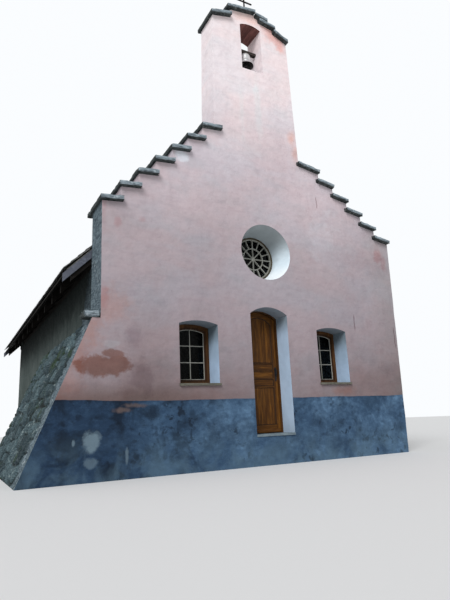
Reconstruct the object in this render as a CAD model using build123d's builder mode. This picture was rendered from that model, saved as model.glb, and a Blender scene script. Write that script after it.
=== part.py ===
from build123d import *
from collections import namedtuple
from math import atan2, cos, degrees, radians, sin, tan
import os

# A small roadside chapel: one rendered front wall that steps up to a bell gable, with a plain nave behind.
# Millimetres. X runs along the front to the right, Y runs into the building, Z is up.
# The origin is on the ground in the middle of the nave, and Z = 0 is the lowest ground at the walls.

# Nave
NAVE_LENGTH = 10820
HALF_LEFT = 3355
HALF_RIGHT = 3415
RIGHT_LEAN = 105
FRONT_WALL = 685
SIDE_WALL = 600
REAR_WALL = 600
SIDE_WALL_TOP = 3650
FLOOR_TOP = 560

# Doorway, arched, with an inward opening leaf
DOOR_HALF = 431
DOOR_HEIGHT = 2296
DOOR_RISE = 142
DOOR_REVEAL = 395
INNER_REVEAL_WIDEN = 100
INNER_HEAD_LIFT = 62
FRAME_DEEP = 80
FRAME_SHOWS = 25
LEAF_THICK = 45
LEAF_GAP = 8
HINGE_GAP = 5
STILE = 95
FOOT_RAIL = 150
PANEL_SINK = 9
LOWER_PANEL = 730
BAND = 138
BAND_GAP = 18
BANDS = 3
WEATHERBOARD_HIGH = 70
WEATHERBOARD_OUT = 28
THRESHOLD_THICK = 40
THRESHOLD_NOSE = 12

# Door furniture: strap hinges on two pins inside, and a plate with a grip outside
PIN_R = 6
EYE_R = 12
STRAP = 6
STRAP_HIGH = 40
STRAP_LONG = 360
LOWER_HINGE = 330
UPPER_HINGE = 1880
PINTLE_PLATE = 70
HINGE_SEAT = 1
LOCK_FOOT = 1010
LOCK_HIGH = 280
LOCK_WIDE = 46
LOCK_THICK = 4
GRIP_FOOT = 120
GRIP_HEAD = 35
GRIP_WIDE = 18
GRIP_THICK = 7
GRIP_OUT = 46
GRIP_BEND = 18

# Two windows with arched heads
WINDOW_X = 1549
WINDOW_HALF = 391
WINDOW_SILL = 946
WINDOW_HEIGHT = 1079
WINDOW_RISE = 64
WINDOW_REVEAL = 403
WINDOW_FRAME = 60
WINDOW_FRAME_DEEP = 75
SASH = 38
SASH_DEEP = 42
GLASS = 6
SILL_THICK = 40
SILL_EAR = 15
SILL_NOSE = 38

# Round window over the door
OCULUS_X = 39
OCULUS_HEIGHT = 3604
OCULUS_R = 591
OCULUS_INNER_R = 482
OCULUS_REVEAL = 507
OCULUS_FRAME = 34
OCULUS_FRAME_DEEP = 66
WHEEL_RIM = 24
WHEEL_BAR = 19
WHEEL_DEEP = 36
WHEEL_MID_R = 236
WHEEL_HUB_R = 44
INNER_SPOKES = 8
OUTER_SPOKES = 16

# Crow steps of the gable, each under one stone slab that tips outward to shed the rain
LEFT_STEPS = 7
LEFT_RUN = 340
LEFT_RISE = 325
LEFT_TILT = 4.5
LEFT_FIRST_TOP = 4800
LEFT_DRIP = 50
LEFT_LAST_INNER = 880
RIGHT_STEPS = 6
RIGHT_RUN = 385
RIGHT_RISE = 290
RIGHT_TILT = 10
RIGHT_FIRST_TOP = 4846
RIGHT_DRIP = 15
RIGHT_LAST_INNER = 1000
STEP_SLAB = 90
STEP_SLAB_LAP = 95
STEP_SLAB_NOSE = 104
STEP_SLAB_TAIL = 240
MORTAR = 2

# Bell gable; its heights are measured up from the sill of the bell opening
TOWER_FOOT_HALF = 1062
TOWER_HEAD_HALF = 972
TOWER_DEEP = 567
BELL_SILL = 8440
BELL_HALF = 269
BELL_OPENING_HIGH = 1140
BELL_RISE = 65
HEAD_LEG = 280

# Slabs of the bell gable's roof, from each eave up: outer end and inner end out from the axis,
# height of the bed at the outer end over the sill, and tilt in degrees
LEFT_COURSES = ((1032, 505, 1095, 13.5),)
RIGHT_COURSES = ((998, 600, 1015, 22.5), (658, 214, 1264, 10), (452, 130, 1402, 8))
RIDGE_COURSE = (615, -130, 1416, 7.5)
TOWER_SLAB = 92
TOWER_SLAB_NOSE = 100
TOWER_SLAB_TAIL = 77

# Bell and its hanging
BELL_WALL = 16
BELL_MOUTH_R = 176
BELL_PROFILE = ((205, 0), (168, 66), (108, 266), (72, 300))
CROWN_WIDE = 118
CROWN_DEEP = 48
CLAPPER_R = 33
CLAPPER_ROD = 18
CLAPPER_HIGH = 62
AXIS_OVER_SILL = 674
BELL_DROP = 365
STOCK_HIGH = 60
STOCK_WIDE = 90
STOCK_GAP = 8
GUDGEON_R = 14
BEARING = 60
RUNNING = 0.1

# Roof over the nave
PITCH = 44.5
EAVE_OUT = 505
REAR_VERGE = 400
COVERING = 80
BOARDING = 25
RAFTER_DEEP = 160
RAFTER_WIDE = 110
RAFTER_BAYS = 11
COVERING_DRIP = 35
PLATE_WIDE = 150
PLATE_HIGH = 124
PLATE_INSET = 25
RIDGE_BEAM_WIDE = 160
RIDGE_BEAM_DEEP = 240
RAFTER_SHORT = 120
BLOCKING = 25
BARGE_THICK = 30
BARGE_DEEP = 110

# Raking buttress on the left of the front
BUTTRESS_TOP = 2600
BUTTRESS_SHOULDER = 140
BUTTRESS_RAKE = 22.5
BUTTRESS_TOP_DEEP = 4900
BUTTRESS_FOOT_DEEP = 5300
CAPSTONE = 120
CAPSTONE_OUT = 300
CAPSTONE_DEEP = 330
CAPSTONE_NOSE = 45

# Iron cross on the ridge slab
CROSS_X = 60
CROSS_TALL = 760
CROSS_ARM = 210
CROSS_BAR = 26
CROSS_ARM_AT = 520
CROSS_FOOT = 60

FRONT_Y = -NAVE_LENGTH / 2
INSIDE_Y = FRONT_Y + FRONT_WALL
REAR_Y = NAVE_LENGTH / 2
VERGE_Y = REAR_Y + REAR_VERGE
SLOPE = tan(radians(PITCH))
PLUMB = 1 / cos(radians(PITCH))
DOOR_SPRING = FLOOR_TOP + DOOR_HEIGHT
BELL_SPRING = BELL_SILL + BELL_OPENING_HIGH
HEAD_BED = BELL_SPRING - HEAD_LEG
BELL_AXIS = BELL_SILL + AXIS_OVER_SILL
SIDES = {"left": -1, "right": 1}
UPWARD = (Align.CENTER, Align.CENTER, Align.MIN)
OUTWARD = (Align.CENTER, Align.CENTER, Align.MAX)

os.makedirs("parts", exist_ok=True)


def save(builder, name):
    """Label a finished piece and write it as its own STEP file."""
    builder.part.label = name
    export_step(builder.part, f"parts/{name}.step")


def front_plane(depth=0):
    """Upright plane parallel to the front, depth behind the facade; X is to the right and Y is up."""
    return Plane(origin=(0, FRONT_Y + depth, 0), x_dir=(1, 0, 0), z_dir=(0, -1, 0))


def block(x, y, z, mode=Mode.ADD):
    """Box that fills the three (low, high) ranges."""
    with Locations(((x[0] + x[1]) / 2, (y[0] + y[1]) / 2, (z[0] + z[1]) / 2)):
        Box(x[1] - x[0], y[1] - y[0], z[1] - z[0], mode=mode)


def prism(points, depth, thick, mode=Mode.ADD):
    """Upright face through the points, drawn out from depth behind the facade."""
    with BuildSketch(front_plane(depth)) as section:
        with BuildLine() as outline:
            Polyline(*points, close=True)
        make_face(outline.line)
    extrude(section.sketch, amount=-thick, mode=mode)


def mirrored(side, low, high):
    """The X range from low to high out from the axis, on the side -1 or 1."""
    return tuple(sorted((side * low, side * high)))


def arched(centre, half, bottom, spring, rise, mode=Mode.ADD):
    """Upright opening with straight sides and a segmental head, as a face in the current sketch."""
    left, right = centre - half, centre + half
    with BuildLine() as outline:
        Polyline((left, spring), (left, bottom), (right, bottom), (right, spring))
        ThreePointArc((right, spring), (centre, spring + rise), (left, spring))
    make_face(outline.line, mode)


def cut_arch(depth, thick, *opening):
    """Cut an arched opening through the current part, from depth behind the facade."""
    with BuildSketch(front_plane(depth)) as void:
        arched(*opening)
    extrude(void.sketch, amount=-thick, mode=Mode.SUBTRACT)


# Crow steps: one flight on each side, with distances out from the axis

def wall_edge(side, z):
    """Half width of the front wall at height z; its right corner leans out."""
    return HALF_LEFT if side < 0 else HALF_RIGHT + RIGHT_LEAN * z / RIGHT_FIRST_TOP


Flight = namedtuple("Flight", "steps run rise tilt first_end first_top drip last_inner")
LEFT_FIRST_END = wall_edge(-1, LEFT_FIRST_TOP) + LEFT_DRIP
RIGHT_FIRST_END = wall_edge(1, RIGHT_FIRST_TOP) + RIGHT_DRIP
FLIGHTS = {
    -1: Flight(
        LEFT_STEPS, LEFT_RUN, LEFT_RISE, LEFT_TILT,
        LEFT_FIRST_END, LEFT_FIRST_TOP, LEFT_DRIP, LEFT_LAST_INNER,
    ),
    1: Flight(
        RIGHT_STEPS, RIGHT_RUN, RIGHT_RISE, RIGHT_TILT,
        RIGHT_FIRST_END, RIGHT_FIRST_TOP, RIGHT_DRIP, RIGHT_LAST_INNER,
    ),
}


def slab_end(side, k):
    """Outer end of slab k, counted from the eave."""
    return FLIGHTS[side].first_end - k * FLIGHTS[side].run


def slab_bed(side, k, x):
    """Height of the bed of slab k at distance x."""
    flight = FLIGHTS[side]
    outer_top = flight.first_top + k * flight.rise
    return outer_top + (slab_end(side, k) - x) * tan(radians(flight.tilt)) - STEP_SLAB


def step_slab(side, k, mode=Mode.ADD):
    """Slab k: its outer end stands out past the wall, its inner end is built into the wall of the next step.

    The last slab stops flush with the inside of the wall, since the roof rises past it there.
    """
    outer = slab_end(side, k)
    if k == FLIGHTS[side].steps - 1:
        inner, behind = FLIGHTS[side].last_inner, 0
    else:
        inner, behind = slab_end(side, k + 1) - STEP_SLAB_LAP, STEP_SLAB_TAIL
    beds = [(side * x, slab_bed(side, k, x)) for x in (outer, inner)]
    tops = [(x, z + STEP_SLAB) for x, z in reversed(beds)]
    prism(beds + tops, -STEP_SLAB_NOSE, STEP_SLAB_NOSE + FRONT_WALL + behind, mode)


def step_slabs_of(side, mode=Mode.ADD):
    """All slabs of one flight."""
    for k in range(FLIGHTS[side].steps):
        step_slab(side, k, mode)


def tower_foot(side):
    """Corner of the bell gable's foot, on the bed of the last slab."""
    return side * TOWER_FOOT_HALF, slab_bed(side, FLIGHTS[side].steps - 1, TOWER_FOOT_HALF)


def gable_steps(side):
    """Points up the stepped edge of the wall, from the corner to the foot of the bell gable."""
    points = [(side * wall_edge(side, DOOR_SPRING), DOOR_SPRING)]
    for k in range(FLIGHTS[side].steps):
        edge = slab_end(side, k) - FLIGHTS[side].drip
        if k > 0:
            points.append((side * edge, slab_bed(side, k - 1, edge)))
        points.append((side * edge, slab_bed(side, k, edge)))
    return points + [tower_foot(side)]


# Front wall: one mass of rendered rubble, split beside and over the doorway

for name, side in SIDES.items():
    with BuildPart() as front_wall:
        foot, head = (side * DOOR_HALF, 0), (side * DOOR_HALF, DOOR_SPRING)
        corner = [(side * wall_edge(side, z), z) for z in (DOOR_SPRING, 0)]
        prism([foot, head, *corner], 0, FRONT_WALL)
        inner = mirrored(side, DOOR_HALF, DOOR_HALF + INNER_REVEAL_WIDEN)
        block(inner, (FRONT_Y + DOOR_REVEAL, INSIDE_Y), (FLOOR_TOP, DOOR_SPRING), Mode.SUBTRACT)
        sill = FLOOR_TOP + WINDOW_SILL
        cut_arch(0, FRONT_WALL, side * WINDOW_X, WINDOW_HALF, sill, sill + WINDOW_HEIGHT, WINDOW_RISE)
        ears = (side * WINDOW_X - WINDOW_HALF - SILL_EAR, side * WINDOW_X + WINDOW_HALF + SILL_EAR)
        block(ears, (FRONT_Y, FRONT_Y + WINDOW_REVEAL), (sill - SILL_THICK, sill), Mode.SUBTRACT)
    save(front_wall, f"front_wall_{name}")

with BuildPart() as front_wall_sill:
    block((-DOOR_HALF, DOOR_HALF), (FRONT_Y, INSIDE_Y), (0, FLOOR_TOP - THRESHOLD_THICK))
save(front_wall_sill, "front_wall_sill")

with BuildPart() as door_threshold:
    nose_y = FRONT_Y - THRESHOLD_NOSE
    block((-DOOR_HALF, DOOR_HALF), (nose_y, INSIDE_Y), (FLOOR_TOP - THRESHOLD_THICK, FLOOR_TOP))
    nosing = door_threshold.edges().filter_by(Axis.X).group_by(Axis.Y)[0].sort_by(Axis.Z)[-1]
    fillet(nosing, THRESHOLD_NOSE / 2)
save(door_threshold, "door_threshold")

OCULUS_Z = FLOOR_TOP + OCULUS_HEIGHT


def oculus_plane(depth):
    """Upright plane behind the facade with its origin at the round window's centre."""
    return Plane(origin=(OCULUS_X, FRONT_Y + depth, OCULUS_Z), x_dir=(1, 0, 0), z_dir=(0, -1, 0))


with BuildPart() as front_gable:
    prism([*gable_steps(-1), *reversed(gable_steps(1))], 0, FRONT_WALL)
    cut_arch(0, FRONT_WALL, 0, DOOR_HALF, DOOR_SPRING - DOOR_RISE, DOOR_SPRING, DOOR_RISE)
    inner_half = DOOR_HALF + INNER_REVEAL_WIDEN
    inner_head = DOOR_SPRING + DOOR_RISE + INNER_HEAD_LIFT
    rebate_y = (FRONT_Y + DOOR_REVEAL, INSIDE_Y)
    block((-inner_half, inner_half), rebate_y, (DOOR_SPRING, inner_head), Mode.SUBTRACT)
    with Locations(oculus_plane(0)):
        Cone(OCULUS_INNER_R, OCULUS_R, OCULUS_REVEAL, align=OUTWARD, mode=Mode.SUBTRACT)
    with Locations(oculus_plane(OCULUS_REVEAL)):
        Cylinder(OCULUS_INNER_R, FRONT_WALL - OCULUS_REVEAL, align=OUTWARD, mode=Mode.SUBTRACT)
    for side in SIDES.values():
        step_slabs_of(side, Mode.SUBTRACT)
save(front_gable, "front_gable")

for name, side in SIDES.items():
    with BuildPart() as step_slabs:
        step_slabs_of(side)
    save(step_slabs, f"step_slabs_{name}")


# Bell gable: a tapering shaft, two piers beside the bell and a head over it

def tower_half(z):
    """Half width of the bell gable at height z; both sides lean in by the same straight taper."""
    foot_z = tower_foot(-1)[1]
    share = (z - foot_z) / (BELL_SPRING - foot_z)
    return TOWER_FOOT_HALF + share * (TOWER_HEAD_HALF - TOWER_FOOT_HALF)


with BuildPart() as tower_shaft:
    high = tower_half(BELL_SILL)
    prism([tower_foot(-1), tower_foot(1), (high, BELL_SILL), (-high, BELL_SILL)], 0, TOWER_DEEP)
    for side in SIDES.values():
        step_slab(side, FLIGHTS[side].steps - 1, Mode.SUBTRACT)
save(tower_shaft, "tower_shaft")

for name, side in SIDES.items():
    with BuildPart() as tower_pier:
        foot, neck = side * tower_half(BELL_SILL), side * tower_half(HEAD_BED)
        jamb = side * BELL_HALF
        prism([(jamb, BELL_SILL), (foot, BELL_SILL), (neck, HEAD_BED), (jamb, HEAD_BED)], 0, TOWER_DEEP)
        with Locations((side * (BELL_HALF + BEARING / 2), FRONT_Y + TOWER_DEEP / 2, BELL_AXIS)):
            Box(BEARING, STOCK_WIDE, BEARING, mode=Mode.SUBTRACT)
    save(tower_pier, f"tower_pier_{name}")


# Head of the bell gable under its slabs, each of which rests on the inner end of the one below it

Course = namedtuple("Course", "outer inner over_sill tilt")
COURSES = {-1: [Course(*c) for c in LEFT_COURSES], 1: [Course(*c) for c in RIGHT_COURSES]}
RIDGE = Course(*RIDGE_COURSE)


def course_bed(course, x):
    """Height of a course's bed at distance x from the axis."""
    return BELL_SILL + course.over_sill + (course.outer - x) * tan(radians(course.tilt))


def head_outline(side):
    """Points up one raking side of the head, under the beds of its slabs."""
    points = [(side * tower_half(HEAD_BED), HEAD_BED)]
    x = tower_half(BELL_SPRING)
    for course in COURSES[side]:
        points.append((side * x, course_bed(course, x)))
        x = course.inner
        points.append((side * x, course_bed(course, x)))
    return points


def tower_slab(side, course, mode=Mode.ADD):
    """Slab of one course, short of the wall behind its inner end by the mortar."""
    beds = [(side * x, course_bed(course, x)) for x in (course.outer, course.inner + MORTAR)]
    tops = [(x, z + TOWER_SLAB) for x, z in reversed(beds)]
    prism(beds + tops, -TOWER_SLAB_NOSE, TOWER_SLAB_NOSE + TOWER_DEEP + TOWER_SLAB_TAIL, mode)


with BuildPart() as tower_head:
    ridge = [(-x, course_bed(RIDGE, x)) for x in (COURSES[-1][-1].inner, RIDGE.inner)]
    prism([*head_outline(-1), *ridge, *reversed(head_outline(1))], 0, TOWER_DEEP)
    cut_arch(0, TOWER_DEEP, 0, BELL_HALF, HEAD_BED - BELL_RISE, BELL_SPRING, BELL_RISE)
    cross_y = FRONT_Y + TOWER_DEEP / 2
    cross_bed = course_bed(RIDGE, -CROSS_X)
    rod_x = (CROSS_X - CROSS_BAR / 2, CROSS_X + CROSS_BAR / 2)
    rod_y = (cross_y - CROSS_BAR / 2, cross_y + CROSS_BAR / 2)
    rod_z = (cross_bed - CROSS_FOOT, cross_bed + TOWER_SLAB + CROSS_TALL)
    block(rod_x, rod_y, rod_z, Mode.SUBTRACT)
save(tower_head, "tower_head")

for name, side in SIDES.items():
    with BuildPart() as tower_slabs:
        for course in COURSES[side]:
            tower_slab(side, course)
    save(tower_slabs, f"tower_slabs_{name}")

with BuildPart() as tower_ridge_slab:
    tower_slab(-1, RIDGE)
    block(rod_x, rod_y, rod_z, Mode.SUBTRACT)
save(tower_ridge_slab, "tower_ridge_slab")

with BuildPart() as roof_cross:
    block(rod_x, rod_y, rod_z)
    arm_z = cross_bed + TOWER_SLAB + CROSS_ARM_AT
    block((CROSS_X - CROSS_ARM, CROSS_X + CROSS_ARM), rod_y, (arm_z - CROSS_BAR / 2, arm_z + CROSS_BAR / 2))
save(roof_cross, "roof_cross")

# Bell: one turned profile, hung from a timber headstock that turns on two gudgeons in the piers

BELL_Y = FRONT_Y + TOWER_DEEP / 2
LIP_Z = BELL_AXIS - BELL_DROP
CROWN_Z = LIP_Z + BELL_PROFILE[-1][1]
STOCK_BOTTOM = BELL_AXIS - STOCK_HIGH / 2
SOFFIT_Z = CROWN_Z - BELL_WALL

with BuildPart() as bell:
    with BuildSketch(Plane(origin=(0, BELL_Y, 0), x_dir=(1, 0, 0), z_dir=(0, -1, 0))):
        with BuildLine():
            outer = [(r, LIP_Z + z) for r, z in BELL_PROFILE]
            crown_r = BELL_PROFILE[-1][0]
            hollow = [(crown_r, SOFFIT_Z), (BELL_MOUTH_R, LIP_Z)]
            Polyline(*outer, (0, CROWN_Z), (0, SOFFIT_Z), *hollow, close=True)
        make_face()
    revolve(axis=Axis((0, BELL_Y, 0), (0, 0, 1)))
    with Locations((0, BELL_Y, CROWN_Z)):
        Box(CROWN_WIDE, CROWN_DEEP, STOCK_BOTTOM - CROWN_Z, align=UPWARD)
save(bell, "bell")

with BuildPart() as bell_clapper:
    with Locations((0, BELL_Y, LIP_Z)):
        Cylinder(CLAPPER_R, CLAPPER_HIGH, align=UPWARD)
    with Locations((0, BELL_Y, SOFFIT_Z)):
        Box(CLAPPER_ROD, CLAPPER_ROD, SOFFIT_Z - LIP_Z, align=OUTWARD)
save(bell_clapper, "bell_clapper")

with BuildPart() as bell_headstock:
    with Locations((0, BELL_Y, BELL_AXIS)):
        Box(2 * (BELL_HALF - STOCK_GAP), STOCK_WIDE, STOCK_HIGH)
        Cylinder(GUDGEON_R, 2 * (BELL_HALF + BEARING - STOCK_GAP), rotation=(0, 90, 0))
save(bell_headstock, "bell_headstock")

with BuildPart() as bell_bearings:
    for side in SIDES.values():
        with Locations((side * (BELL_HALF + BEARING / 2), BELL_Y, BELL_AXIS)):
            Box(BEARING, STOCK_WIDE, BEARING)
            Cylinder(GUDGEON_R + RUNNING, BEARING, rotation=(0, 90, 0), mode=Mode.SUBTRACT)
save(bell_bearings, "bell_bearings")

# Nave walls and the paved floor on its fill

for name, side in SIDES.items():
    with BuildPart() as nave_wall:
        wall_x = mirrored(side, HALF_LEFT - SIDE_WALL, HALF_LEFT)
        block(wall_x, (INSIDE_Y, REAR_Y - REAR_WALL), (0, SIDE_WALL_TOP))
    save(nave_wall, f"nave_wall_{name}")

with BuildPart() as nave_floor:
    inside_half = HALF_LEFT - SIDE_WALL
    block((-inside_half, inside_half), (INSIDE_Y, REAR_Y - REAR_WALL), (0, FLOOR_TOP))
save(nave_floor, "nave_floor")


# Roof: covering on boards on rafters. Depths are square to the slope, so plumb depths are longer.
# The underside of the rafters lies on the outer top edge of the wall plates.

BOARDS_DEPTH = (COVERING, COVERING + BOARDING)
RAFTER_DEPTH = (BOARDS_DEPTH[1], BOARDS_DEPTH[1] + RAFTER_DEEP)
PLATE_OUTER = HALF_LEFT - PLATE_INSET
RIDGE_TOP = SIDE_WALL_TOP + PLATE_HIGH + PLATE_OUTER * SLOPE + RAFTER_DEPTH[1] * PLUMB
EAVE_X = HALF_LEFT + EAVE_OUT
BOARDS_X = EAVE_X - COVERING_DRIP
RAFTER_END_X = BOARDS_X - RAFTER_SHORT
FRAMED_Y = (INSIDE_Y + BARGE_THICK, VERGE_Y - BARGE_THICK)


def roof_z(x, depth):
    """Height of the slope at distance x from the axis, depth below its top and square to it."""
    return RIDGE_TOP - abs(x) * SLOPE - depth * PLUMB


def slope_piece(side, x, depth, y):
    """Part of one roof slope between two distances from the axis, two depths and two places along Y."""
    (near, far), (top, bottom) = x, depth
    with BuildSketch(Plane(origin=(0, y[0], 0), x_dir=(1, 0, 0), z_dir=(0, -1, 0))) as section:
        with BuildLine() as outline:
            Polyline(
                (side * near, roof_z(near, top)),
                (side * far, roof_z(far, top)),
                (side * far, roof_z(far, bottom)),
                (side * near, roof_z(near, bottom)),
                close=True,
            )
        make_face(outline.line)
    extrude(section.sketch, amount=y[0] - y[1])


for name, side in SIDES.items():
    with BuildPart() as roof_covering:
        slope_piece(side, (0, EAVE_X), (0, COVERING), (INSIDE_Y, VERGE_Y))
    save(roof_covering, f"roof_covering_{name}")

    with BuildPart() as roof_boards:
        slope_piece(side, (0, BOARDS_X), BOARDS_DEPTH, FRAMED_Y)
    save(roof_boards, f"roof_boards_{name}")

with BuildPart() as rafters:
    spacing = (FRAMED_Y[1] - FRAMED_Y[0] - RAFTER_WIDE) / RAFTER_BAYS
    in_rear_wall = (REAR_Y - REAR_WALL - RAFTER_WIDE, REAR_Y)
    for side in SIDES.values():
        for i in range(RAFTER_BAYS + 1):
            y = FRAMED_Y[0] + i * spacing
            if in_rear_wall[0] < y < in_rear_wall[1]:
                continue
            slope_piece(side, (RIDGE_BEAM_WIDE / 2, RAFTER_END_X), RAFTER_DEPTH, (y, y + RAFTER_WIDE))
save(rafters, "rafters")

with BuildPart() as ridge_beam:
    with BuildSketch(Plane(origin=(0, INSIDE_Y, 0), x_dir=(1, 0, 0), z_dir=(0, -1, 0))):
        with BuildLine():
            beam_half = RIDGE_BEAM_WIDE / 2
            arris = roof_z(beam_half, RAFTER_DEPTH[0])
            Polyline(
                (0, roof_z(0, RAFTER_DEPTH[0])),
                (beam_half, arris), (beam_half, arris - RIDGE_BEAM_DEEP),
                (-beam_half, arris - RIDGE_BEAM_DEEP), (-beam_half, arris),
                close=True,
            )
        make_face()
    extrude(amount=INSIDE_Y - FRAMED_Y[1])
save(ridge_beam, "ridge_beam")

with BuildPart() as wall_plates:
    for side in SIDES.values():
        plate_inner = PLATE_OUTER - PLATE_WIDE
        with BuildSketch(Plane(origin=(0, INSIDE_Y, 0), x_dir=(1, 0, 0), z_dir=(0, -1, 0))):
            with BuildLine():
                Polyline(
                    (side * plate_inner, SIDE_WALL_TOP),
                    (side * PLATE_OUTER, SIDE_WALL_TOP),
                    (side * PLATE_OUTER, roof_z(PLATE_OUTER, RAFTER_DEPTH[1])),
                    (side * plate_inner, roof_z(plate_inner, RAFTER_DEPTH[1])),
                    close=True,
                )
            make_face()
        extrude(amount=INSIDE_Y - FRAMED_Y[1])
save(wall_plates, "wall_plates")

with BuildPart() as rear_wall:
    with BuildSketch(Plane(origin=(0, REAR_Y - REAR_WALL, 0), x_dir=(1, 0, 0), z_dir=(0, -1, 0))):
        with BuildLine():
            eave = roof_z(HALF_LEFT, RAFTER_DEPTH[0])
            Polyline(
                (-HALF_LEFT, 0), (HALF_LEFT, 0), (HALF_LEFT, eave),
                (0, roof_z(0, RAFTER_DEPTH[0])), (-HALF_LEFT, eave),
                close=True,
            )
        make_face()
    extrude(amount=-REAR_WALL)
    add(ridge_beam.part, mode=Mode.SUBTRACT)
    add(wall_plates.part, mode=Mode.SUBTRACT)
save(rear_wall, "rear_wall")

with BuildPart() as eaves_blocking:
    for side in SIDES.values():
        blocked_y = (FRAMED_Y[0], REAR_Y - REAR_WALL)
        slope_piece(side, (PLATE_OUTER - BLOCKING, PLATE_OUTER), RAFTER_DEPTH, blocked_y)
    add(rafters.part, mode=Mode.SUBTRACT)
save(eaves_blocking, "eaves_blocking")

with BuildPart() as verge_boards:
    for side in SIDES.values():
        front = (INSIDE_Y, INSIDE_Y + BARGE_THICK)
        outside = wall_edge(side, SIDE_WALL_TOP)
        slope_piece(side, (outside, EAVE_X), (COVERING, COVERING + BARGE_DEEP), front)
        rear = (VERGE_Y - BARGE_THICK, VERGE_Y)
        slope_piece(side, (MORTAR / 2, EAVE_X), (COVERING, COVERING + BARGE_DEEP), rear)
save(verge_boards, "verge_boards")

# Windows: a timber frame set deep in the wall, a sash with one sheet of glass, and a thin sill

WINDOW_Z = FLOOR_TOP + WINDOW_SILL
SASH_DEPTH = WINDOW_REVEAL + (WINDOW_FRAME_DEEP - SASH_DEEP) / 2


def window_light(centre, inset, mode=Mode.ADD):
    """Arched face whose edges lie so far inside the masonry opening of the window."""
    spring = WINDOW_Z + WINDOW_HEIGHT - inset
    arched(centre, WINDOW_HALF - inset, WINDOW_Z + inset, spring, WINDOW_RISE, mode)


for name, side in SIDES.items():
    centre = side * WINDOW_X

    with BuildPart() as window_frame:
        with BuildSketch(front_plane(WINDOW_REVEAL)):
            window_light(centre, 0)
            window_light(centre, WINDOW_FRAME, Mode.SUBTRACT)
        extrude(amount=-WINDOW_FRAME_DEEP)
    save(window_frame, f"window_frame_{name}")

    with BuildPart() as window_sash:
        with BuildSketch(front_plane(SASH_DEPTH)):
            window_light(centre, WINDOW_FRAME)
            window_light(centre, WINDOW_FRAME + SASH, Mode.SUBTRACT)
        extrude(amount=-SASH_DEEP)
    save(window_sash, f"window_sash_{name}")

    with BuildPart() as window_glass:
        with BuildSketch(front_plane(SASH_DEPTH + (SASH_DEEP - GLASS) / 2)):
            window_light(centre, WINDOW_FRAME + SASH)
        extrude(amount=-GLASS)
    save(window_glass, f"window_glass_{name}")

with BuildPart() as window_sills:
    for side in SIDES.values():
        ears = WINDOW_HALF + SILL_EAR
        sill_x = (side * WINDOW_X - ears, side * WINDOW_X + ears)
        block(sill_x, (FRONT_Y - SILL_NOSE, FRONT_Y + WINDOW_REVEAL), (WINDOW_Z - SILL_THICK, WINDOW_Z))
save(window_sills, "window_sills")


# Round window: a frame ring, a wheel of bars and one disc of glass

GLAZING_R = OCULUS_INNER_R - OCULUS_FRAME

with BuildPart() as oculus_frame:
    with BuildSketch(oculus_plane(OCULUS_REVEAL)):
        Circle(OCULUS_INNER_R)
        Circle(GLAZING_R, mode=Mode.SUBTRACT)
    extrude(amount=-OCULUS_FRAME_DEEP)
save(oculus_frame, "oculus_frame")

WHEEL_DEPTH = OCULUS_REVEAL + (OCULUS_FRAME_DEEP - WHEEL_DEEP - GLASS) / 2

with BuildPart() as oculus_wheel:
    with BuildSketch(oculus_plane(WHEEL_DEPTH)):
        Circle(GLAZING_R)
        Circle(GLAZING_R - WHEEL_RIM, mode=Mode.SUBTRACT)
        outer_run = GLAZING_R - WHEEL_RIM / 2 - WHEEL_MID_R
        with PolarLocations(WHEEL_MID_R + outer_run / 2, OUTER_SPOKES):
            Rectangle(outer_run, WHEEL_BAR)
        inner_run = WHEEL_MID_R - WHEEL_HUB_R / 2
        with PolarLocations(WHEEL_HUB_R / 2 + inner_run / 2, INNER_SPOKES):
            Rectangle(inner_run, WHEEL_BAR)
        with BuildSketch(mode=Mode.PRIVATE) as middle_ring:
            Circle(WHEEL_MID_R + WHEEL_BAR / 2)
            Circle(WHEEL_MID_R - WHEEL_BAR / 2, mode=Mode.SUBTRACT)
        add(middle_ring.sketch)
        Circle(WHEEL_HUB_R)
    extrude(amount=-WHEEL_DEEP)
save(oculus_wheel, "oculus_wheel")

with BuildPart() as oculus_glass:
    with BuildSketch(oculus_plane(WHEEL_DEPTH + WHEEL_DEEP)):
        Circle(GLAZING_R)
    extrude(amount=-GLASS)
save(oculus_glass, "oculus_glass")

# Door: a frame in the rebate of the wall, and a framed leaf with sunk panels

LEAF_DEPTH = DOOR_REVEAL + FRAME_DEEP - LEAF_THICK
CLEAR_HALF = DOOR_HALF - FRAME_SHOWS
CLEAR_SPRING = DOOR_SPRING - FRAME_SHOWS
LEAF_LEFT = -CLEAR_HALF + HINGE_GAP
LEAF_RIGHT = CLEAR_HALF - LEAF_GAP
LEAF_HALF = (LEAF_RIGHT - LEAF_LEFT) / 2
LEAF_X = (LEAF_RIGHT + LEAF_LEFT) / 2
LEAF_BOTTOM = FLOOR_TOP + LEAF_GAP
LEAF_SPRING = CLEAR_SPRING - LEAF_GAP

with BuildPart() as door_frame:
    frame_half = DOOR_HALF + INNER_REVEAL_WIDEN
    frame_y = (FRONT_Y + DOOR_REVEAL, FRONT_Y + DOOR_REVEAL + FRAME_DEEP)
    block((-frame_half, frame_half), frame_y, (FLOOR_TOP, inner_head))
    cut_arch(DOOR_REVEAL, FRAME_DEEP, 0, CLEAR_HALF, FLOOR_TOP, CLEAR_SPRING, DOOR_RISE)
save(door_frame, "door_frame")

BAND_FOOT = LEAF_BOTTOM + FOOT_RAIL + LOWER_PANEL + BAND_GAP
UPPER_PANEL_FOOT = BAND_FOOT + BANDS * (BAND + BAND_GAP)

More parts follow.
